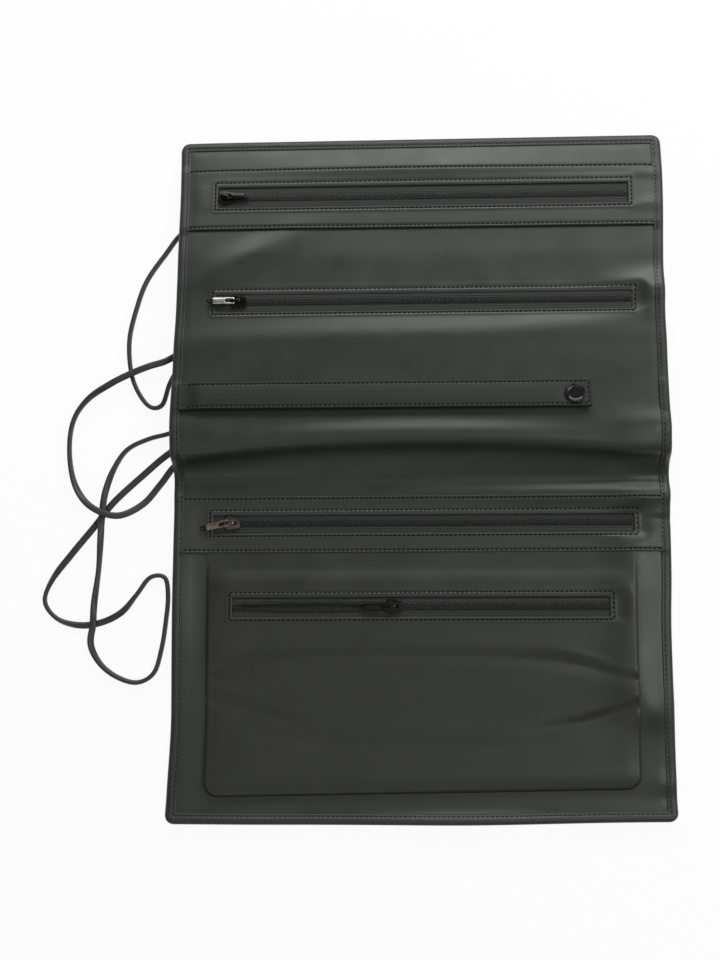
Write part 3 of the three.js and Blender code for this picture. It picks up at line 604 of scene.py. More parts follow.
# The zip panels.
# Two strips of the lining's leather sewn across the inside, one on the top flap and one below the valley.
# Their long edges are turned under and stitched down, and each has the window of a zip.
PANEL_TOP, PANEL_EDGE, PANEL_SIDE = 1.55, 1.5, HALF - 3.6
PANELS = (("top", 0, 16, 53, "top_flap"), ("lower", 2, LOWER + 8.2, LOWER + 39, "lower_panel"))
panel_leather = leather("Zip panel leather", (0.019, 0.021, 0.0185), 0.41)
for name, number, start, end, body in PANELS:

    def panel_height(x, run):
        gap = np.minimum(run - start, end - run)
        sides = 0.55 * (1 - smooth(edge_gap(x, run), BINDING - 0.5, BINDING + 5))
        row = np.minimum(abs(run - start - PANEL_EDGE), abs(end - run - PANEL_EDGE))
        height = PANEL_TOP + sewn_window(number, x, run) + turned_edge(gap) - sides
        return height - DRAWN_IN * bell(row, 0, DRAWN_REACH)

    x_edges, run_edges = window_edges([OPENINGS[number]])
    x_lines = lines_between(-PANEL_SIDE, PANEL_SIDE, 2.6, x_edges)
    run_lines = lines_between(start, end, 1.6, [(start, 1), (end, -1), *run_edges])
    piece = cut_leather("zip_panel_" + name + "_skin", x_lines, run_lines, panel_height, [OPENINGS[number]])
    finish_leather(piece, SKIN, panel_leather)
    rows = [[(-INNER, run), (INNER, run)] for run in (start + PANEL_EDGE, end - PANEL_EDGE)]
    sew(piece, [*rows, round_path(SEWN[number])], panel_height)
    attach(piece, body)
    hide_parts("zip_panel_" + name)


# The zips.
# Four coil zips of the small size 3. Each is two woven tapes, on which a coil of nylon is sewn, and the coils
# mesh to the right of the slider. Zip 4 stands half open, so its tapes part to the left of its slider.
LEVELS = (0.3, -0.8, 0.3, 2.9)
SLIDER_PLACES = (-105.7, -97.8, -101.2, -14.2)
ZIP_BODIES = ("top_flap", "upper_panel", "lower_panel", "pouch_upper")
TAPE, TAPE_WIDTH, TAPE_REST, CLOTH = 0.6, 10.5, 1.8, 0.45
COIL_PITCH, COIL_WIDTH, COIL_HEIGHT, COIL_LIFT, COIL_STEPS = 1.27, 2.3, 0.62, 0.36, 8
NYLON, NYLON_SIDES = 0.3, 5

# The tapes are woven in fine ribs along the zip, with the yarn showing across them.
tape_cloth, tree, shader = new_material("Zip tape")
place = add_node(tree, "TexCoord").outputs["Object"]
ribs = add_node(tree, "TexWave", {"Vector": place, "Scale": 330, "Distortion": 0.3}, bands_direction="Y")
yarn = add_node(tree, "TexWave", {"Vector": place, "Scale": 700}, bands_direction="X")
weave = add_node(tree, "Math", {0: yarn.outputs["Fac"], 1: 0.4, 2: ribs.outputs["Fac"]},
                 operation="MULTIPLY_ADD")
relief = add_node(tree, "Bump", {"Strength": 0.5, "Distance": 0.0003, "Height": weave.outputs[0]})
rib_shade = shade_between(tree, ribs.outputs["Fac"], (0.008, 0.0095, 0.008), (0.018, 0.0215, 0.0185))
set_inputs(tree, shader, {"Base Color": rib_shade, "Normal": relief.outputs["Normal"], "Roughness": 0.65,
                          "Specular Tint": (0.9, 1, 0.9, 1)})
nylon = speckled("Black nylon", "TexNoise", {"Scale": 900}, (0.007, 0.008, 0.007), (0.017, 0.02, 0.0175),
                 0.35, 0.35)


def parting(number, x):
    """How far each half of a zip stands off its middle line."""
    if number != 3:
        return np.zeros_like(x)
    left, slider = OPENINGS[3][0], SLIDER_PLACES[3] - 3
    share = np.clip((x - left) / (slider - left), 0, 1)
    return 1.1 * np.sin(math.pi * share) ** 0.8


def unit(ways):
    """Each direction with a length of one."""
    return ways / np.linalg.norm(ways, axis=1)[:, None]


def circle(sides):
    """The corners of a round section."""
    angles = np.arange(sides) * 2 * math.pi / sides
    return np.column_stack([np.cos(angles), np.sin(angles)])


def sweep(line, across, over, section, closed=False):
    """The points and faces of a section swept along a line."""
    points = line[:, None] + across[:, None] * section[:, :1] + over[:, None] * section[:, 1:]
    return points.reshape(-1, 3), tube_faces(len(line), len(section), closed)


def edit_all(piece, operator, **settings):
    """Runs one mesh operator on the whole of a piece."""
    choose(piece)
    bpy.ops.object.mode_set(mode="EDIT")
    bpy.ops.mesh.select_all(action="SELECT")
    operator(**settings)
    bpy.ops.object.mode_set(mode="OBJECT")


def coil(number, side, left, right):
    """One half of a zip's coil: a flattened spiral of nylon along the edge of its tape, in bench points."""
    turns = int((right - left) / COIL_PITCH)
    angle = np.arange(turns * COIL_STEPS + 1) * 2 * math.pi / COIL_STEPS
    x = left + angle / (2 * math.pi) * COIL_PITCH + (COIL_PITCH / 2 if side > 0 else 0)
    out = COIL_WIDTH / 2 - 0.35 - (COIL_WIDTH / 2 - 0.05) * np.cos(angle)
    up = LEVELS[number] + TAPE + COIL_LIFT + COIL_HEIGHT / 2 * np.sin(angle)
    line = np.column_stack([x, side * (out + parting(number, x)) - ZIP_LINES[number], up])
    along = unit(np.gradient(line, axis=0))
    across = unit(np.cross(along, (1, 0, 0)))
    return sweep(line, across, np.cross(along, across), NYLON * circle(NYLON_SIDES))


for number, body in enumerate(ZIP_BODIES):
    left, right = OPENINGS[number][0] - TAPE_REST, OPENINGS[number][1] + TAPE_REST
    line = ZIP_LINES[number]
    for half, side in (("upper", 1), ("lower", -1)):

        def tape_height(x, run):
            gap = abs(run - line)
            return LEVELS[number] + TAPE + 0.18 * bell(gap, 2.6, 0.5) - 0.25 * smooth(gap, 6, 9)

        piece = cut_leather("zip%d_tape_%s_cloth" % (number + 1, half), lines_between(left, right, 2.5),
                            lines_between(line + 0.3, line + TAPE_WIDTH, 0.8), tape_height)
        points = get_points(piece)
        away = -points[:, 1] - line
        points[:, 1] = side * (away + parting(number, points[:, 0]) * (1 - smooth(away, 2, 8))) - line
        set_points(piece, points)
        if side > 0:
            edit_all(piece, bpy.ops.mesh.flip_normals)
        finish_leather(piece, CLOTH, tape_cloth)
        points, faces = coil(number, side, left + 0.5, right - 0.8)
        sew_on(piece, "coil", points, faces, nylon)
        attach(piece, body)
        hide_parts("zip%d_tape_%s" % (number + 1, half))


# The zip sliders.
# Each is die-cast and black nickelled: an upper plate with flanges turned down over the coil, a lower plate
# behind the tape, a post between them, and a bridge over the top that holds the puller.
def finish(name, dark, light, smoothest, roughest, metallic=1):
    """A metal's finish, varying in small clouds: wear on the dark finishes, painted glints and reflections on
    the light ones.
    """
    clouds = {"Scale": 350, "Detail": 4}
    return speckled(name, "TexNoise", clouds, dark, light, smoothest, roughest, Metallic=metallic)


# A lighter copy of the black nickel for the third slider: its light clouds are painted glints.
glint_painted_nickel = finish("Black nickel with painted glints", (0.012, 0.012, 0.011), (0.15, 0.14, 0.125), 0.15, 0.3)
black_nickel = finish("Black nickel", (0.011, 0.011, 0.011), (0.034, 0.033, 0.031), 0.16, 0.3)

PLATE_HIGH, PLATE_WALL, FLANGE_LOW, METAL_EDGE = 2.45, 0.6, 1.25, 0.14
LOWER_PLATE, LOWER_WALL, BRIDGE_WIDTH, BRIDGE_WALL, BRIDGE_EDGE = -0.25, 0.7, 1.7, 0.65, 0.15
POST_PLACE, POST_SIZE, POST_EDGE = (-1.8, 0, 0.8), (0.8, 0.3, 2.4), 0.1
PLATE_OUTLINE = ((-4.3, 2.1), (-4.0, 2.9), (-3.3, 3.5), (-2.0, 3.8), (-0.4, 3.75), (1.0, 3.4), (2.4, 3.1),
                 (3.7, 2.95), (4.1, 2.7), (4.3, 2.3))
BRIDGE_LINE = ((-3.5, 2.2), (-3.45, 3.2), (-3.1, 3.85), (-2.4, 4.25), (-1.2, 4.35), (0.2, 4.3), (1.1, 4.0),
               (1.7, 3.4), (2.1, 2.9), (2.6, 2.2))


def give_wall(piece, wall, offset, edge):
    """Gives a shaped sheet of metal its wall and rounded edges."""
    apply_modifier(piece, "SOLIDIFY", thickness=wall, offset=offset)
    apply_modifier(piece, "BEVEL", width=edge, segments=2, limit_method="ANGLE")
    return piece


def upper_plate_row(x, half):
    """Across the upper plate at one place: its flanges come down behind the nose only."""
    low = FLANGE_LOW if x > -1 else PLATE_HIGH - 0.45
    drop = ((-half, low), (-half, PLATE_HIGH - 0.35), (-half + 0.3, PLATE_HIGH - 0.05),
            (-half / 2, PLATE_HIGH))
    return [(x, y, z) for y, z in drop] + [(x, -y, z) for y, z in drop[::-1]]


def fit_copy(node, word, mesh, points, number, *materials):
    """Puts a copy of a metal part on one of the zips, where it stands for a node that is its own body."""
    piece = bpy.data.objects.new(node + word, mesh.copy())
    bpy.context.scene.collection.objects.link(piece)
    set_points(piece, lay(points + (SLIDER_PLACES[number], -ZIP_LINES[number], LEVELS[number])))
    for material in materials:
        piece.data.materials.append(material)
    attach(piece, node)
    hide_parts(node)
    return piece


upper = [upper_plate_row(x, half) for x, half in PLATE_OUTLINE]
lower = [[(x, share * half, LOWER_PLATE) for share in (-1, -0.4, 0.4, 1)] for x, half in PLATE_OUTLINE]
bridge = [[(x, y, z) for y in (-BRIDGE_WIDTH / 2, 0, BRIDGE_WIDTH / 2)] for x, z in BRIDGE_LINE]
plate, *rest = [give_wall(shaped_grid("slider", rows), wall, -1, edge) for rows, wall, edge in (
    (upper, PLATE_WALL, METAL_EDGE), (lower, LOWER_WALL, METAL_EDGE), (bridge, BRIDGE_WALL, BRIDGE_EDGE))]
bpy.ops.mesh.primitive_cube_add(size=1, location=POST_PLACE, scale=POST_SIZE)
post = bpy.context.object
bpy.ops.object.transform_apply(location=True, rotation=True, scale=True)
apply_modifier(post, "BEVEL", width=POST_EDGE, segments=2)
choose(plate, *rest, post)
bpy.ops.object.join()
bpy.ops.object.shade_smooth_by_angle(angle=math.radians(40))
slider_shape, slider_mesh = get_points(plate), plate.data
bpy.data.objects.remove(plate)
for number in range(len(SLIDER_PLACES)):
    # The third slider gets the lighter copy with painted glints; the others keep the black nickel.
    slider_nickel_and_glints = glint_painted_nickel if number == 2 else black_nickel
    fit_copy("zip%d_slider" % (number + 1), "_body", slider_mesh, slider_shape, number, slider_nickel_and_glints)


# The zip pullers.
# Stamped from sheet metal: two arms round the slider's bridge, a flat plate, and a small hole near the tip.
# Zip 1's puller lies to the right, the others to the left, and zip 3's is askew.
BAR, BAR_HIGH, PULLER_WALL, PULLER_EDGE, TIP = -2.4, 3.15, 0.8, 0.16, 11.8
# Along the puller from the bar: place, half width, and half width of the opening there.
PULLER_OUTLINE = ((-0.4, 1.1, 0), (-0.2, 1.6, 0), (0.2, 1.85, 0), (0.4, 1.85, 1.0), (2.2, 1.85, 1.05),
                  (4.0, 1.85, 1.0), (4.8, 1.8, 0.6), (5.2, 1.7, 0), (6.0, 1.6, 0), (7.0, 1.75, 0),
                  (10.5, 1.75, 0), (11.6, 1.6, 0), (12.3, 1.3, 0), (12.8, 1.25, 0.45), (13.5, 1.2, 0.55),
                  (14.1, 1.15, 0.4), (14.5, 1.0, 0), (15.0, 0.55, 0))
PULLER_TURNS = (0, 180, 192, 180)
# The second and third pullers' plates are painted lighter, silver on the second and brown on the third:
# painted reflections on the black-nickelled metal.
silver_painted_reflection = finish("Nickel with painted silver reflection", (0.30, 0.29, 0.28), (0.62, 0.60, 0.58), 0.18, 0.34)
brown_painted_reflection = finish("Nickel with painted brown reflection", (0.14, 0.095, 0.07), (0.30, 0.215, 0.165), 0.22, 0.4)
PULLER_NICKEL_AND_REFLECTIONS = (black_nickel, silver_painted_reflection, brown_painted_reflection, black_nickel)
puller = shaped_grid("puller", [[(x, y, 0) for y in (-half, -hole, hole, half)]
                                for x, half, hole in PULLER_OUTLINE])
drop_faces(puller, lambda middle: abs(middle.y) < 0.1)
edit_all(puller, bpy.ops.mesh.remove_doubles, threshold=0.01)
give_wall(puller, PULLER_WALL, 0, PULLER_EDGE)
bpy.ops.object.shade_smooth_by_angle(angle=math.radians(40))
puller_shape, puller_mesh = get_points(puller), puller.data
# The thin tip round the small hole stays black nickel, without the plate's painted reflection.
tip_faces = [int(face.center.x > TIP) for face in puller_mesh.polygons]
bpy.data.objects.remove(puller)
# Each puller's plate gets either the black nickel or a painted reflection; its tip stays black nickel.
for number, (turn, plate_nickel_and_reflection) in enumerate(zip(PULLER_TURNS, PULLER_NICKEL_AND_REFLECTIONS)):
    c, s = math.cos(math.radians(turn)), math.sin(math.radians(turn))
    points = puller_shape @ np.array(((c, s, 0), (-s, c, 0), (0, 0, 1))) + (BAR, 0, BAR_HIGH)
    piece = fit_copy("zip%d_puller" % (number + 1), "_plate", puller_mesh, points, number, plate_nickel_and_reflection, black_nickel)
    piece.data.polygons.foreach_set("material_index", tip_faces)


# The ring strap.
# A padded sleeve of leather for rings, stitched along both edges and across its free end on the right. Its
# left end is sewn in beside the binding, where it bends. A snap fastener holds the free end down.
STRAP_LEFT, STRAP_RIGHT, STRAP_HALF = -127.8, 91, 7.5
STRAP_MIDDLE, STRAP_EDGE, STRAP_THICK, STRAP_ROW = 3.0, 1.5, 1.75, 1.5
STRAP_BEND, BEND_HIGH = 2.5, 2
SNAP = (82.3, STRAP_LINE + 0.5)


def pillow(name, x_lines, run_lines, top_of, bottom_of):
    """A closed soft piece between two surfaces over one grid."""
    piece = cut_leather(name, x_lines, run_lines, top_of)
    count = len(piece.data.vertices)
    bpy.ops.object.mode_set(mode="EDIT")
    bpy.ops.mesh.select_all(action="SELECT")
    bpy.ops.mesh.duplicate()
    bpy.ops.mesh.flip_normals()
    bpy.ops.object.mode_set(mode="OBJECT")
    points = get_points(piece)
    points[count:, 2] = bottom_of(points[count:, 0], -points[count:, 1])
    set_points(piece, points)
    bpy.ops.object.mode_set(mode="EDIT")
    bpy.ops.mesh.select_all(action="DESELECT")
    bpy.ops.mesh.select_mode(type="EDGE")
    bpy.ops.mesh.select_non_manifold()
    bpy.ops.mesh.bridge_edge_loops()
    bpy.ops.object.mode_set(mode="OBJECT")
    return piece


def strap_half_thickness(x, run):
    gap = np.minimum(STRAP_HALF - abs(run - STRAP_LINE), STRAP_RIGHT - x)
    edge = STRAP_EDGE * np.sqrt(np.maximum(1 - np.clip(1 - gap / 0.7, 0, 1) ** 2, 0.15))
    full = edge + (STRAP_THICK - STRAP_EDGE) * smooth(gap, 1.6, 6) - 0.3 * bell(gap, 1.5, 0.5)
    pressed = bell(np.hypot(x - SNAP[0], run - SNAP[1]), 0, 7.5, 4)
    root = 1 - smooth(x, STRAP_LEFT + 3, STRAP_LEFT + 12)
    return full * (1 - 0.35 * pressed - 0.5 * root)


def strap_middle(x):
    return STRAP_MIDDLE - 1.3 * (1 - smooth(x, STRAP_LEFT + 2, STRAP_LEFT + 12))


def strap_top(x, run):
    waves = 0.12 * np.sin(x / 17) * np.cos(x / 31 + 1)
    return strap_middle(x) + strap_half_thickness(x, run) + waves


def strap_bottom(x, run):
    return strap_middle(x) - strap_half_thickness(x, run)


strap_start, strap_end = STRAP_LINE - STRAP_HALF, STRAP_LINE + STRAP_HALF
strap = pillow("ring_strap_padded", lines_between(STRAP_LEFT, STRAP_RIGHT, 2, ((STRAP_RIGHT, -1),)),
               lines_between(strap_start, strap_end, 0.8, ((strap_start, 1), (strap_end, -1))),
               strap_top, strap_bottom)
finish_leather(strap, 0, leather("Strap leather", (0.008, 0.0088, 0.0074), 0.58), 60)
upper_row, lower_row, end_row = strap_start + STRAP_ROW, strap_end - STRAP_ROW, STRAP_RIGHT - STRAP_ROW
sew(strap, [[(STRAP_LEFT + 4, upper_row), (end_row, upper_row), (end_row, lower_row),
             (STRAP_LEFT + 4, lower_row)]], strap_top)
hinge = np.array(joints["ring_strap_open"]["pos_m"]) / MM
ends = lay(np.array([[hinge[0] + reach, -STRAP_LINE, BEND_HIGH] for reach in (-STRAP_BEND, STRAP_BEND)]))
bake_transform(strap)
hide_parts("ring_strap_sleeve", "ring_strap_core", "ring_strap_tab")


# The snap fastener.
# Pressed metal parts with a black finish: a dished cap clinched through the strap's end on to its socket, and
# a stud in the lining. Socket and stud stay as they are built in the frame.
CAP_LINE = ((0, 5.3), (2.8, 5.3), (3.7, 5.42), (4.2, 5.66), (4.6, 6.0), (4.85, 6.1), (5.1, 6.0), (5.3, 5.5),
            (5.2, 4.9), (4.7, 4.55), (0, 4.5))
cap_mesh = bpy.data.meshes.new("snap_cap_dome")
cap_mesh.from_pydata([(r, 0, h) for r, h in CAP_LINE], [(i, i + 1) for i in range(len(CAP_LINE) - 1)], [])
cap = bpy.data.objects.new("snap_cap_dome", cap_mesh)
bpy.context.scene.collection.objects.link(cap)
edit_all(cap, bpy.ops.mesh.spin, steps=40, angle=2 * math.pi, center=(0, 0, 0), axis=(0, 0, 1))
edit_all(cap, bpy.ops.mesh.remove_doubles, threshold=0.001)
edit_all(cap, bpy.ops.mesh.normals_make_consistent, inside=False)
apply_modifier(cap, "SUBSURF", levels=1, render_levels=1)
bpy.ops.object.shade_smooth()
set_points(cap, lay(get_points(cap) + (SNAP[0], -SNAP[1], 0)))

lacquer = finish("Black lacquer", (0.002, 0.002, 0.002), (0.006, 0.006, 0.006), 0.06, 0.16, 0)
cap.data.materials.append(lacquer)
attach(cap, "ring_strap")
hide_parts("snap_cap")
for name in ("snap_socket", "snap_stud"):
    frame["nodes"][name].data.materials.clear()
    frame["nodes"][name].data.materials.append(black_nickel)


# The pouch.
# A flat pouch of softer leather, sewn in only under the lower zip panel, so that it lifts like a flap. Its
# front is slack over the roll's folds and gathers in wrinkles at both sides there. Zip 4 closes it.
POUCH_LEFT, POUCH_RIGHT, POUCH_TOP, POUCH_END, POUCH_CORNER = -114.5, 114.3, LOWER + 37.6, 362.3, 7.5
POUCH_ROOT, POUCH_JOIN, POUCH_SEAM, POUCH_SKIN = POUCH_TOP + 3, LOWER + 50, BOTTOM_FOLD + 7, 0.8
pouch_leather = leather("Pouch leather", (0.0155, 0.0153, 0.0125), 0.42, 0.3)
back_leather = leather("Pouch back leather", (0.019, 0.019, 0.016), 0.5, 0.3)
# Wrinkles across the front: the width, then (x, run, height) along each one. They run out to the side edges.
WRINKLES = (
    (11.0, (-116, 285, 1.0), (116, 285, 1.0)),
    (15.0, (-116, 324, -0.9), (116, 322, -0.9)),
    (6.5, (-116, 358, 0.5), (116, 356, 0.7)),
    (3.4, (-116, 301, -1.3), (-94, 294.5, -1.1), (-65, 292, -0.8), (-29, 290.5, -0.65), (41, 291, -0.7),
     (77, 294.5, -1.1), (94, 298, -1.4), (116, 304, -1.6)),
    (2.4, (60, 285, 0), (78, 288, 0.5), (91, 293, 0.8), (116, 301.5, 0.9)),
    (2.6, (-116, 306, 0.7), (-100, 309, 0.5), (-84, 311, 0)),
    (2.8, (-116, 312, -1.0), (-100, 317, -0.95), (-82, 321.5, -0.8), (-58, 326.5, 0)),
    (3.0, (56, 330, 0), (72, 328, -0.7), (91, 325, -1.1), (116, 315.5, -1.3)),
    (2.6, (74, 322, 0), (92, 318.5, 0.5), (116, 309.5, 0.8)),
    (4.4, (-100, 326, 0), (-78, 332, -0.5), (-60, 335.5, -0.65), (-29, 337.5, -0.6), (24, 338, -0.7),
     (52, 337.5, -0.45), (76, 336, 0)),
)


def wrinkles(x, run):
    total = np.zeros_like(x)
    for width, *path in WRINKLES:
        xs, runs, heights = np.array(path, float).T
        middle, height = (sum(np.interp(x + step, xs, values) for step in (-8, -3, 3, 8)) / 4
                          for values in (runs, heights))
        total += height * bell(run, middle, width)
    return total


def pouch_gap(x, run):
    """Distance inside the pouch's edge. Its two lower corners are round."""
    dx = np.minimum(x - POUCH_LEFT, POUCH_RIGHT - x)
    dr = POUCH_END - run
    corner = POUCH_CORNER - np.hypot(np.maximum(POUCH_CORNER - dx, 0), np.maximum(POUCH_CORNER - dr, 0))
    return np.minimum(np.minimum(dx, dr), corner)


def pouch_top(x, run):
    gap = np.maximum(pouch_gap(x, run), 0)
    edge = np.sqrt(np.maximum(1 - (1 - np.clip(gap / 2.4, 0, 1)) ** 2, 0))
    rise = 2.1 * edge + 0.85 * smooth(gap, 1, 14)
    top = smooth(run, POUCH_TOP - 6, POUCH_TOP + 30)
    near = 1 - smooth(beside(SEWN[3], x, run), 1, 14)
    height = 0.62 + (0.63 + rise) * top
    height = height + (4.05 - height) * near * smooth(gap, 1, 5)
    return height + sewn_window(3, x, run) * near + wrinkles(x, run) * (1 - near) * (0.45 + 0.55 * edge)


def pouch_under(x, run):
    """The height of the pouch's back, which thins out where it is sewn in."""
    return 1.15 - 0.55 * (1 - smooth(run, POUCH_TOP - 1, POUCH_TOP + 6))


def round_corners(points):
    """Draws a pouch piece's columns in at its two lower round corners."""
    deep = np.clip(-points[:, 1] - (POUCH_END - POUCH_CORNER), 0, POUCH_CORNER)
    reach = POUCH_CORNER - np.sqrt(np.maximum(POUCH_CORNER**2 - deep**2, 0))
    middle, half = (POUCH_LEFT + POUCH_RIGHT) / 2, (POUCH_RIGHT - POUCH_LEFT) / 2
    points[:, 0] = middle + (points[:, 0] - middle) * (half - reach) / half


# The pouch is in three parts. Each has its name, the half of the frame's pouch that it stands for, what it
# lies on, where it starts and ends, the bodies before and after its crease, the crease, and how far it bends.
POUCH_PARTS = (
    ("root", "upper", "bottom_crease", POUCH_TOP, POUCH_JOIN, "lower_panel", "pouch_upper", POUCH_ROOT, 2.6),
    ("zip", "upper", "bottom_crease", POUCH_JOIN, POUCH_SEAM, "pouch_upper", "pouch_fold", BOTTOM_FOLD, 6),
    ("end", "lower", "bottom_flap", POUCH_SEAM, POUCH_END, "pouch_fold", "pouch_lower", BOTTOM_FLAP, 6),
)
POUCH_SIDES = (("front", pouch_leather, pouch_top), ("back", back_leather, pouch_under))
for name, part, under, start, end, *bend in POUCH_PARTS:
    windows = [OPENINGS[3]] if name == "zip" else []
    x_edges, run_edges = window_edges(windows)
    if name == "end":
        run_edges.append((POUCH_END, -1))
    x_lines = lines_between(POUCH_LEFT, POUCH_RIGHT, 2.2, [*x_edges, (POUCH_LEFT, 1), (POUCH_RIGHT, -1)])
    run_lines = stretch_lines(start, end, 1.3, run_edges)
    for side, material, height_of in POUCH_SIDES:
        piece = cut_leather("pouch_%s_%s" % (side, name), x_lines, run_lines, height_of,
                            windows if side == "front" else ())
        points = get_points(piece)
        round_corners(points)
        points[:, 2] = height_of(points[:, 0], -points[:, 1])
        points[:, 1] += 2.2 * (points[:, 0] + 25) / HALF * smooth(-points[:, 1], 325, POUCH_END)
        set_points(piece, points)
        finish_leather(piece, POUCH_SKIN, material)
        if windows and side == "front":
            sew(piece, [round_path(SEWN[3])], pouch_top)
        bend_at(piece, *bend)
        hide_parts("pouch_%s_%s" % (side, part))
        if name != "root":
            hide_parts("pouch_fold")


# The binding.
# A strip of leather folded over the edges of cover, foam and lining all round and sewn through with one row
# of stitches. It goes round the corners in one piece.
CORNER, ROW, UNDER_ROW = 5, 4.3, -3.35
# Round the folded strip: the distance inward from the roll's edge, and the height.
SECTION = ((5.5, -0.1), (5.5, 0.15), (5.2, 0.32), (4.75, 0.34), (4.3, 0.2), (3.85, 0.34), (3.1, 0.5),
           (2.0, 0.46), (1.0, 0.1), (0.3, -0.6), (0.0, -1.4), (0.3, -2.3), (1.0, -3.0), (2.0, -3.3),
           (3.1, -3.38), (3.85, -3.3), (4.3, -3.15), (4.75, -3.3), (5.3, -3.3), (5.5, -3.0), (5.4, -2.7),
           (2.4, -2.5), (1.5, -1.4), (2.4, -0.3), (5.4, -0.2))
# The strips whose ends are sewn in under the binding, and how far they lift it.
STRIPS = (*((start, end, 0.85) for _, _, start, end, _ in PANELS), (strap_start, strap_end, 0.5))
binding_leather = leather("Binding leather", (0.0165, 0.019, 0.0155), 0.45, 0.25)


def over_strips(run):
    """The binding stands higher where the ends of the strips are sewn in under it."""
    return sum(height * smooth(run, start - 1.5, start + 0.5) * (1 - smooth(run, end - 0.5, end + 1.5))
               for start, end, height in STRIPS)


def along_edge(start, end, side):
    """Stations down one side of the roll: each a place, the way out, the way in, and the corner's radius."""
    return [((side * HALF, run), (side, 0), (-side, 0), 0) for run in lines_between(start, end, 1.6)]


def round_end(run_edge, way):
    """Stations round one end of the roll, from its left corner to its right corner."""
    middle = [((x, run_edge), (0, -way), (0, way), 0) for x in lines_between(CORNER - HALF, HALF - CORNER, 2)]
    corners = []
    for side in (-1, 1):
        centre = (side * (HALF - CORNER), run_edge + way * CORNER)
        turns = [math.pi / 2 * k / 7 for k in range(8)][::-side]
        outs = [(side * math.cos(turn), -way * math.sin(turn)) for turn in turns]
        corners.append([(centre, out, (-side, way), CORNER) for out in outs])
    return corners[0] + middle[1:-1] + corners[1]


def on_edge(station, inward):
    """The place on the bench at a distance inward from the roll's edge."""
    place, out, back, radius = station
    more, rest = max(inward - radius, 0), max(radius - inward, 0)
    return [p + b * more + o * rest for p, o, b in zip(place, out, back)]


def bind(name, stations, bend, node):
    """Sweeps the folded strip along its stations and stitches it."""
    places = [on_edge(station, inward) for station in stations for inward, _ in SECTION]
    heights = np.tile([height for _, height in SECTION], len(stations))
    points = np.column_stack([np.array(places) * (1, -1), heights])
    points[:, 2] += over_strips(-points[:, 1]) * np.clip((heights + 1.6) / 1.4, 0, 1)
    piece = new_piece(name, lay(points), tube_faces(len(stations), len(SECTION)), binding_leather)
    edit_all(piece, bpy.ops.mesh.normals_make_consistent, inside=False)
    bpy.ops.object.shade_smooth_by_angle(angle=math.radians(60))
    row = [[on_edge(station, ROW) for station in stations]]
    sew(piece, row, lambda x, run: over_strips(run))
    sew(piece, row, level(UNDER_ROW))
    bend_at(piece, *bend)
    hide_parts(node)


for name, _, start, end, *bend in STRETCHES:
    if name == "top_flap":
        stations = along_edge(CORNER, end, -1)[:0:-1] + round_end(0, 1) + along_edge(CORNER, end, 1)[1:]
        bind("binding_round_top", stations, bend, "binding_top_flap")
    elif name == "bottom_flap":
        stations = along_edge(start, END - CORNER, -1)[:-1] + round_end(END, -1)
        stations += along_edge(start, END - CORNER, 1)[-2::-1]
        bind("binding_round_bottom", stations, bend, "binding_bottom_flap")
    else:
        panel = "upper" if name in ("top_crease", "ridge") else "lower"
        for side, word in ((-1, "left"), (1, "right")):
            bind("binding_%s_%s" % (name, word), along_edge(start, end, side), bend,
                 "binding_%s_%s" % (panel, word))


# The ties.
# Two long flat laces of leather, sewn under a small patch behind the upper panel. They come out under the
# left edge, lie in loops on the table, and each ends in a knot under the roll.
TIE_WIDTH, TIE_THICKNESS, TIE_SIDES, TIE_LIFT = 3.6, 2.4, 16, 0.1
KNOT_STEPS, KNOT_SIDES, KNOT_HALVES = 48, 12, (1.15, 0.9)
# Each tie's way: x, y, the height of its underside, and how flat it lies there, from 0, on edge, to 1. Where
# only x and y are given, it lies on edge on the table.
TIE_ROUTES = {
    "tie_1": (
        (-50, 67, 7.8, 1), (-59, 71, 6.5, 1), (-72, 86, 2.5, 0.5), (-88, 106), (-104, 126), (-118, 136),
        (-130.6, 135), (-141, 122), (-151, 107), (-156.5, 91), (-160, 74), (-159, 57), (-155, 45),
        (-148, 36), (-141, 37), (-137, 49), (-131, 58), (-119, 62), (-104, 65), (-96, 75), (-103, 85),
        (-117, 81), (-128, 69, 0.5, 0.3), (-138, 61.5, 2.5, 0.8), (-148, 58, 3.9, 1), (-158, 54, 4, 1),
        (-169, 48.5, 3.4, 0.7), (-182, 40.5, 1, 0.2), (-190, 29), (-192, 13), (-189, -4, 2, 0.2),
        (-182, -16, 5.4, 0.8), (-173, -22.5, 5.8, 1), (-162, -24.5, 5, 1), (-150, -18, 2, 0.9),
        (-141, -7, 0.3, 0.9), (-132, 4, 0, 1), (-116, 9, 0, 1), (-99, 11, 0, 1), (-82, 12, 0, 1),
    ),
    "tie_2": (
        (-50, 59, 8.4, 1), (-59, 56, 7, 1), (-74, 51, 3, 0.5), (-94, 44), (-114, 33), (-134, 22),
        (-148, 18), (-160, 12), (-167, 1, 1, 0.2), (-171, -12, 2.6, 0.7), (-172.5, -24, 2.7, 1),
        (-173, -37, 2.2, 0.5), (-174, -54, 0.8, 0.1), (-175.5, -71, 2.4, 0.5), (-176, -83, 2.7, 1),
        (-177, -94, 1.6, 0.5), (-172, -104, 0.4, 0.2), (-163, -111, 0, 0.1), (-152, -114, 0, 0.1),
        (-143, -109), (-139, -96), (-137, -82), (-136, -68), (-138, -58), (-146, -58), (-153, -67),
        (-161, -76.5, 0, 0.5), (-172, -82, 0, 1), (-184, -83.5, 0, 0.6), (-196, -80, 0, 0.2),
        (-203, -71, 0, 0.1), (-200, -60, 0, 0.4), (-190, -46, 0, 1), (-177, -30, 0, 1), (-167, -17, 0, 1),
        (-152, -3, 0, 1), (-136, 10.5, 0, 1), (-118, 20, 0, 1), (-99, 25, 0, 1), (-80, 28, 0, 1),
    ),
}
tie_leather = leather("Tie leather", (0.03, 0.026, 0.029), 0.45)


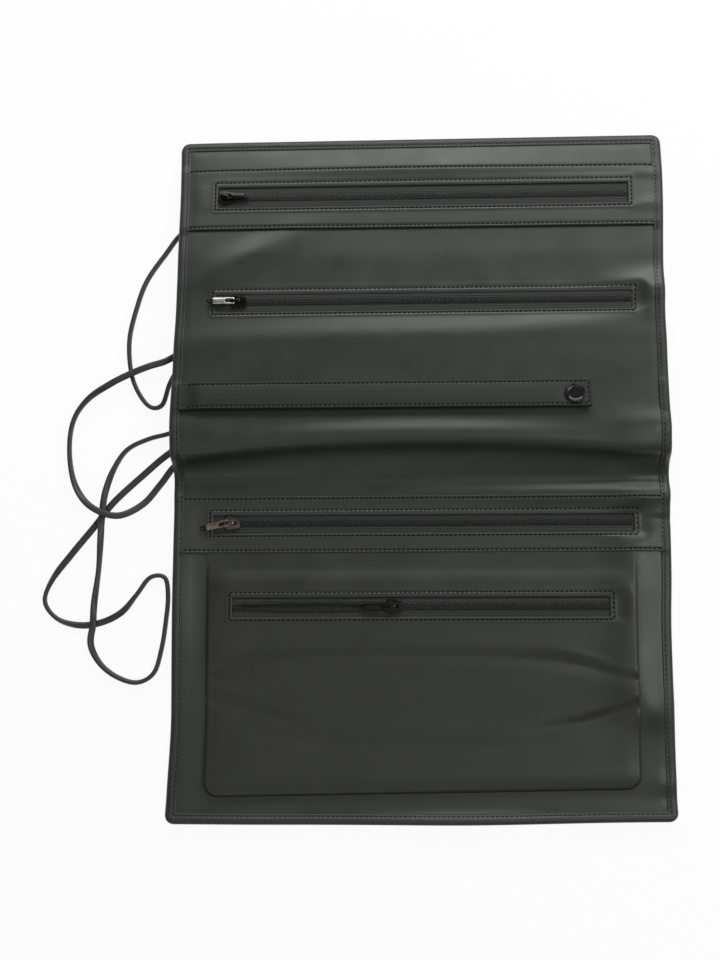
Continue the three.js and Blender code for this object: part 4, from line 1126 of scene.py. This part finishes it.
def smooth_route(route, between):
    """A smooth line through the route's points."""
    p = np.array([(*place, 0, 0)[:4] for place in route], float)
    p = np.vstack([2 * p[0] - p[1], p, 2 * p[-1] - p[-2]])
    line = []
    for i in range(1, len(p) - 2):
        for t in np.arange(between) / between:
            a, b, c, d = p[i - 1 : i + 3]
            line.append(0.5 * (2 * b + (c - a) * t + (2 * a - 5 * b + 4 * c - d) * t**2
                               + (3 * b - a - 3 * c + d) * t**3))
    line.append(p[-2])
    return np.array(line)


def lace(name, route):
    """A flat lace swept along its route, turned from on edge to flat as the route says."""
    line = smooth_route(route, 6)
    turn = (1 - np.clip(line[:, 3], 0, 1)) * math.pi / 2
    rest = TIE_WIDTH / 2 * np.sin(turn) + TIE_THICKNESS / 2 * np.cos(turn)
    height = np.maximum(line[:, 2], 0) + TIE_LIFT + np.minimum(rest, TIE_WIDTH / 2)
    middle = np.column_stack([line[:, :2], height])
    along = unit(np.gradient(middle, axis=0))
    side = unit(np.column_stack([along[:, 1], -along[:, 0], np.zeros(len(along))]))
    across = side * np.cos(turn)[:, None] + np.cross(side, along) * np.sin(turn)[:, None]
    angles = (np.arange(TIE_SIDES) + 0.5) * 2 * math.pi / TIE_SIDES
    section = np.column_stack([np.sign(np.cos(angles)) * abs(np.cos(angles)) ** 0.7 * TIE_WIDTH / 2,
                               np.sign(np.sin(angles)) * abs(np.sin(angles)) ** 0.6 * TIE_THICKNESS / 2])
    points, faces = sweep(middle, across, np.cross(along, across), section)
    length = np.linalg.norm(np.diff(middle, axis=0), axis=1).sum() * MM
    return new_piece(name + "_lace", points * MM, faces, tie_leather), middle * MM, length


def knot(name):
    """An overhand knot at a tie's end: the lace wound round itself and pulled tight."""
    low, high = (np.array(corner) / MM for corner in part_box(name))
    turns = np.linspace(0, 2 * math.pi, KNOT_STEPS + 1)
    line = np.column_stack([np.sin(turns) + 2 * np.sin(2 * turns), np.cos(turns) - 2 * np.cos(2 * turns),
                            -1.25 * np.sin(3 * turns)])
    along = np.gradient(line, axis=0)
    along[0] = along[-1] = line[1] - line[-2]
    along = unit(along)
    side = unit(np.cross(along, (0, 0, 1)))
    section = circle(KNOT_SIDES) * KNOT_HALVES
    points, faces = sweep(line[:-1], side[:-1], np.cross(side, along)[:-1], section, True)
    lowest, reach = points.min(axis=0), np.ptp(points, axis=0)
    points = (points - lowest - reach / 2) * (high - low) / reach + (low + high) / 2
    piece = new_piece(name + "_wound", points * MM, faces, tie_leather)
    edit_all(piece, bpy.ops.mesh.normals_make_consistent, inside=False)
    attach(piece, "upper_panel")
    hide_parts(name)
    return piece


for name, route in TIE_ROUTES.items():
    piece, centre, length = lace(name, route)
    end_knot = knot(name + "_knot")
    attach(piece, "upper_panel")
    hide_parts(name)


# The patch for the ties.
# A small piece of the cover's leather on the outside of the upper panel. It holds the ends of both ties, and
# one row of stitches runs round it.
PATCH, PATCH_FACE, PATCH_THICK, PATCH_ROW = (-66, -34, 115, 133), -3.42, 1.15, 1.6
left, right, start, end = PATCH


def patch_height(x, run):
    edge = np.minimum(np.minimum(x - left, right - x), np.minimum(run - start, end - run))
    return PATCH_FACE - 0.35 * (1 - smooth(edge, -0.2, 0.8))


patch = cut_leather("tie_tab_patch", lines_between(left, right, 2), lines_between(start, end, 2),
                    patch_height)
finish_leather(patch, PATCH_THICK, cover_leather)
stitched = (left + PATCH_ROW, right - PATCH_ROW, start + PATCH_ROW, end - PATCH_ROW)
sew(patch, [round_path(stitched)], level(PATCH_FACE - PATCH_THICK))
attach(patch, "upper_panel")
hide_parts("tie_tab")
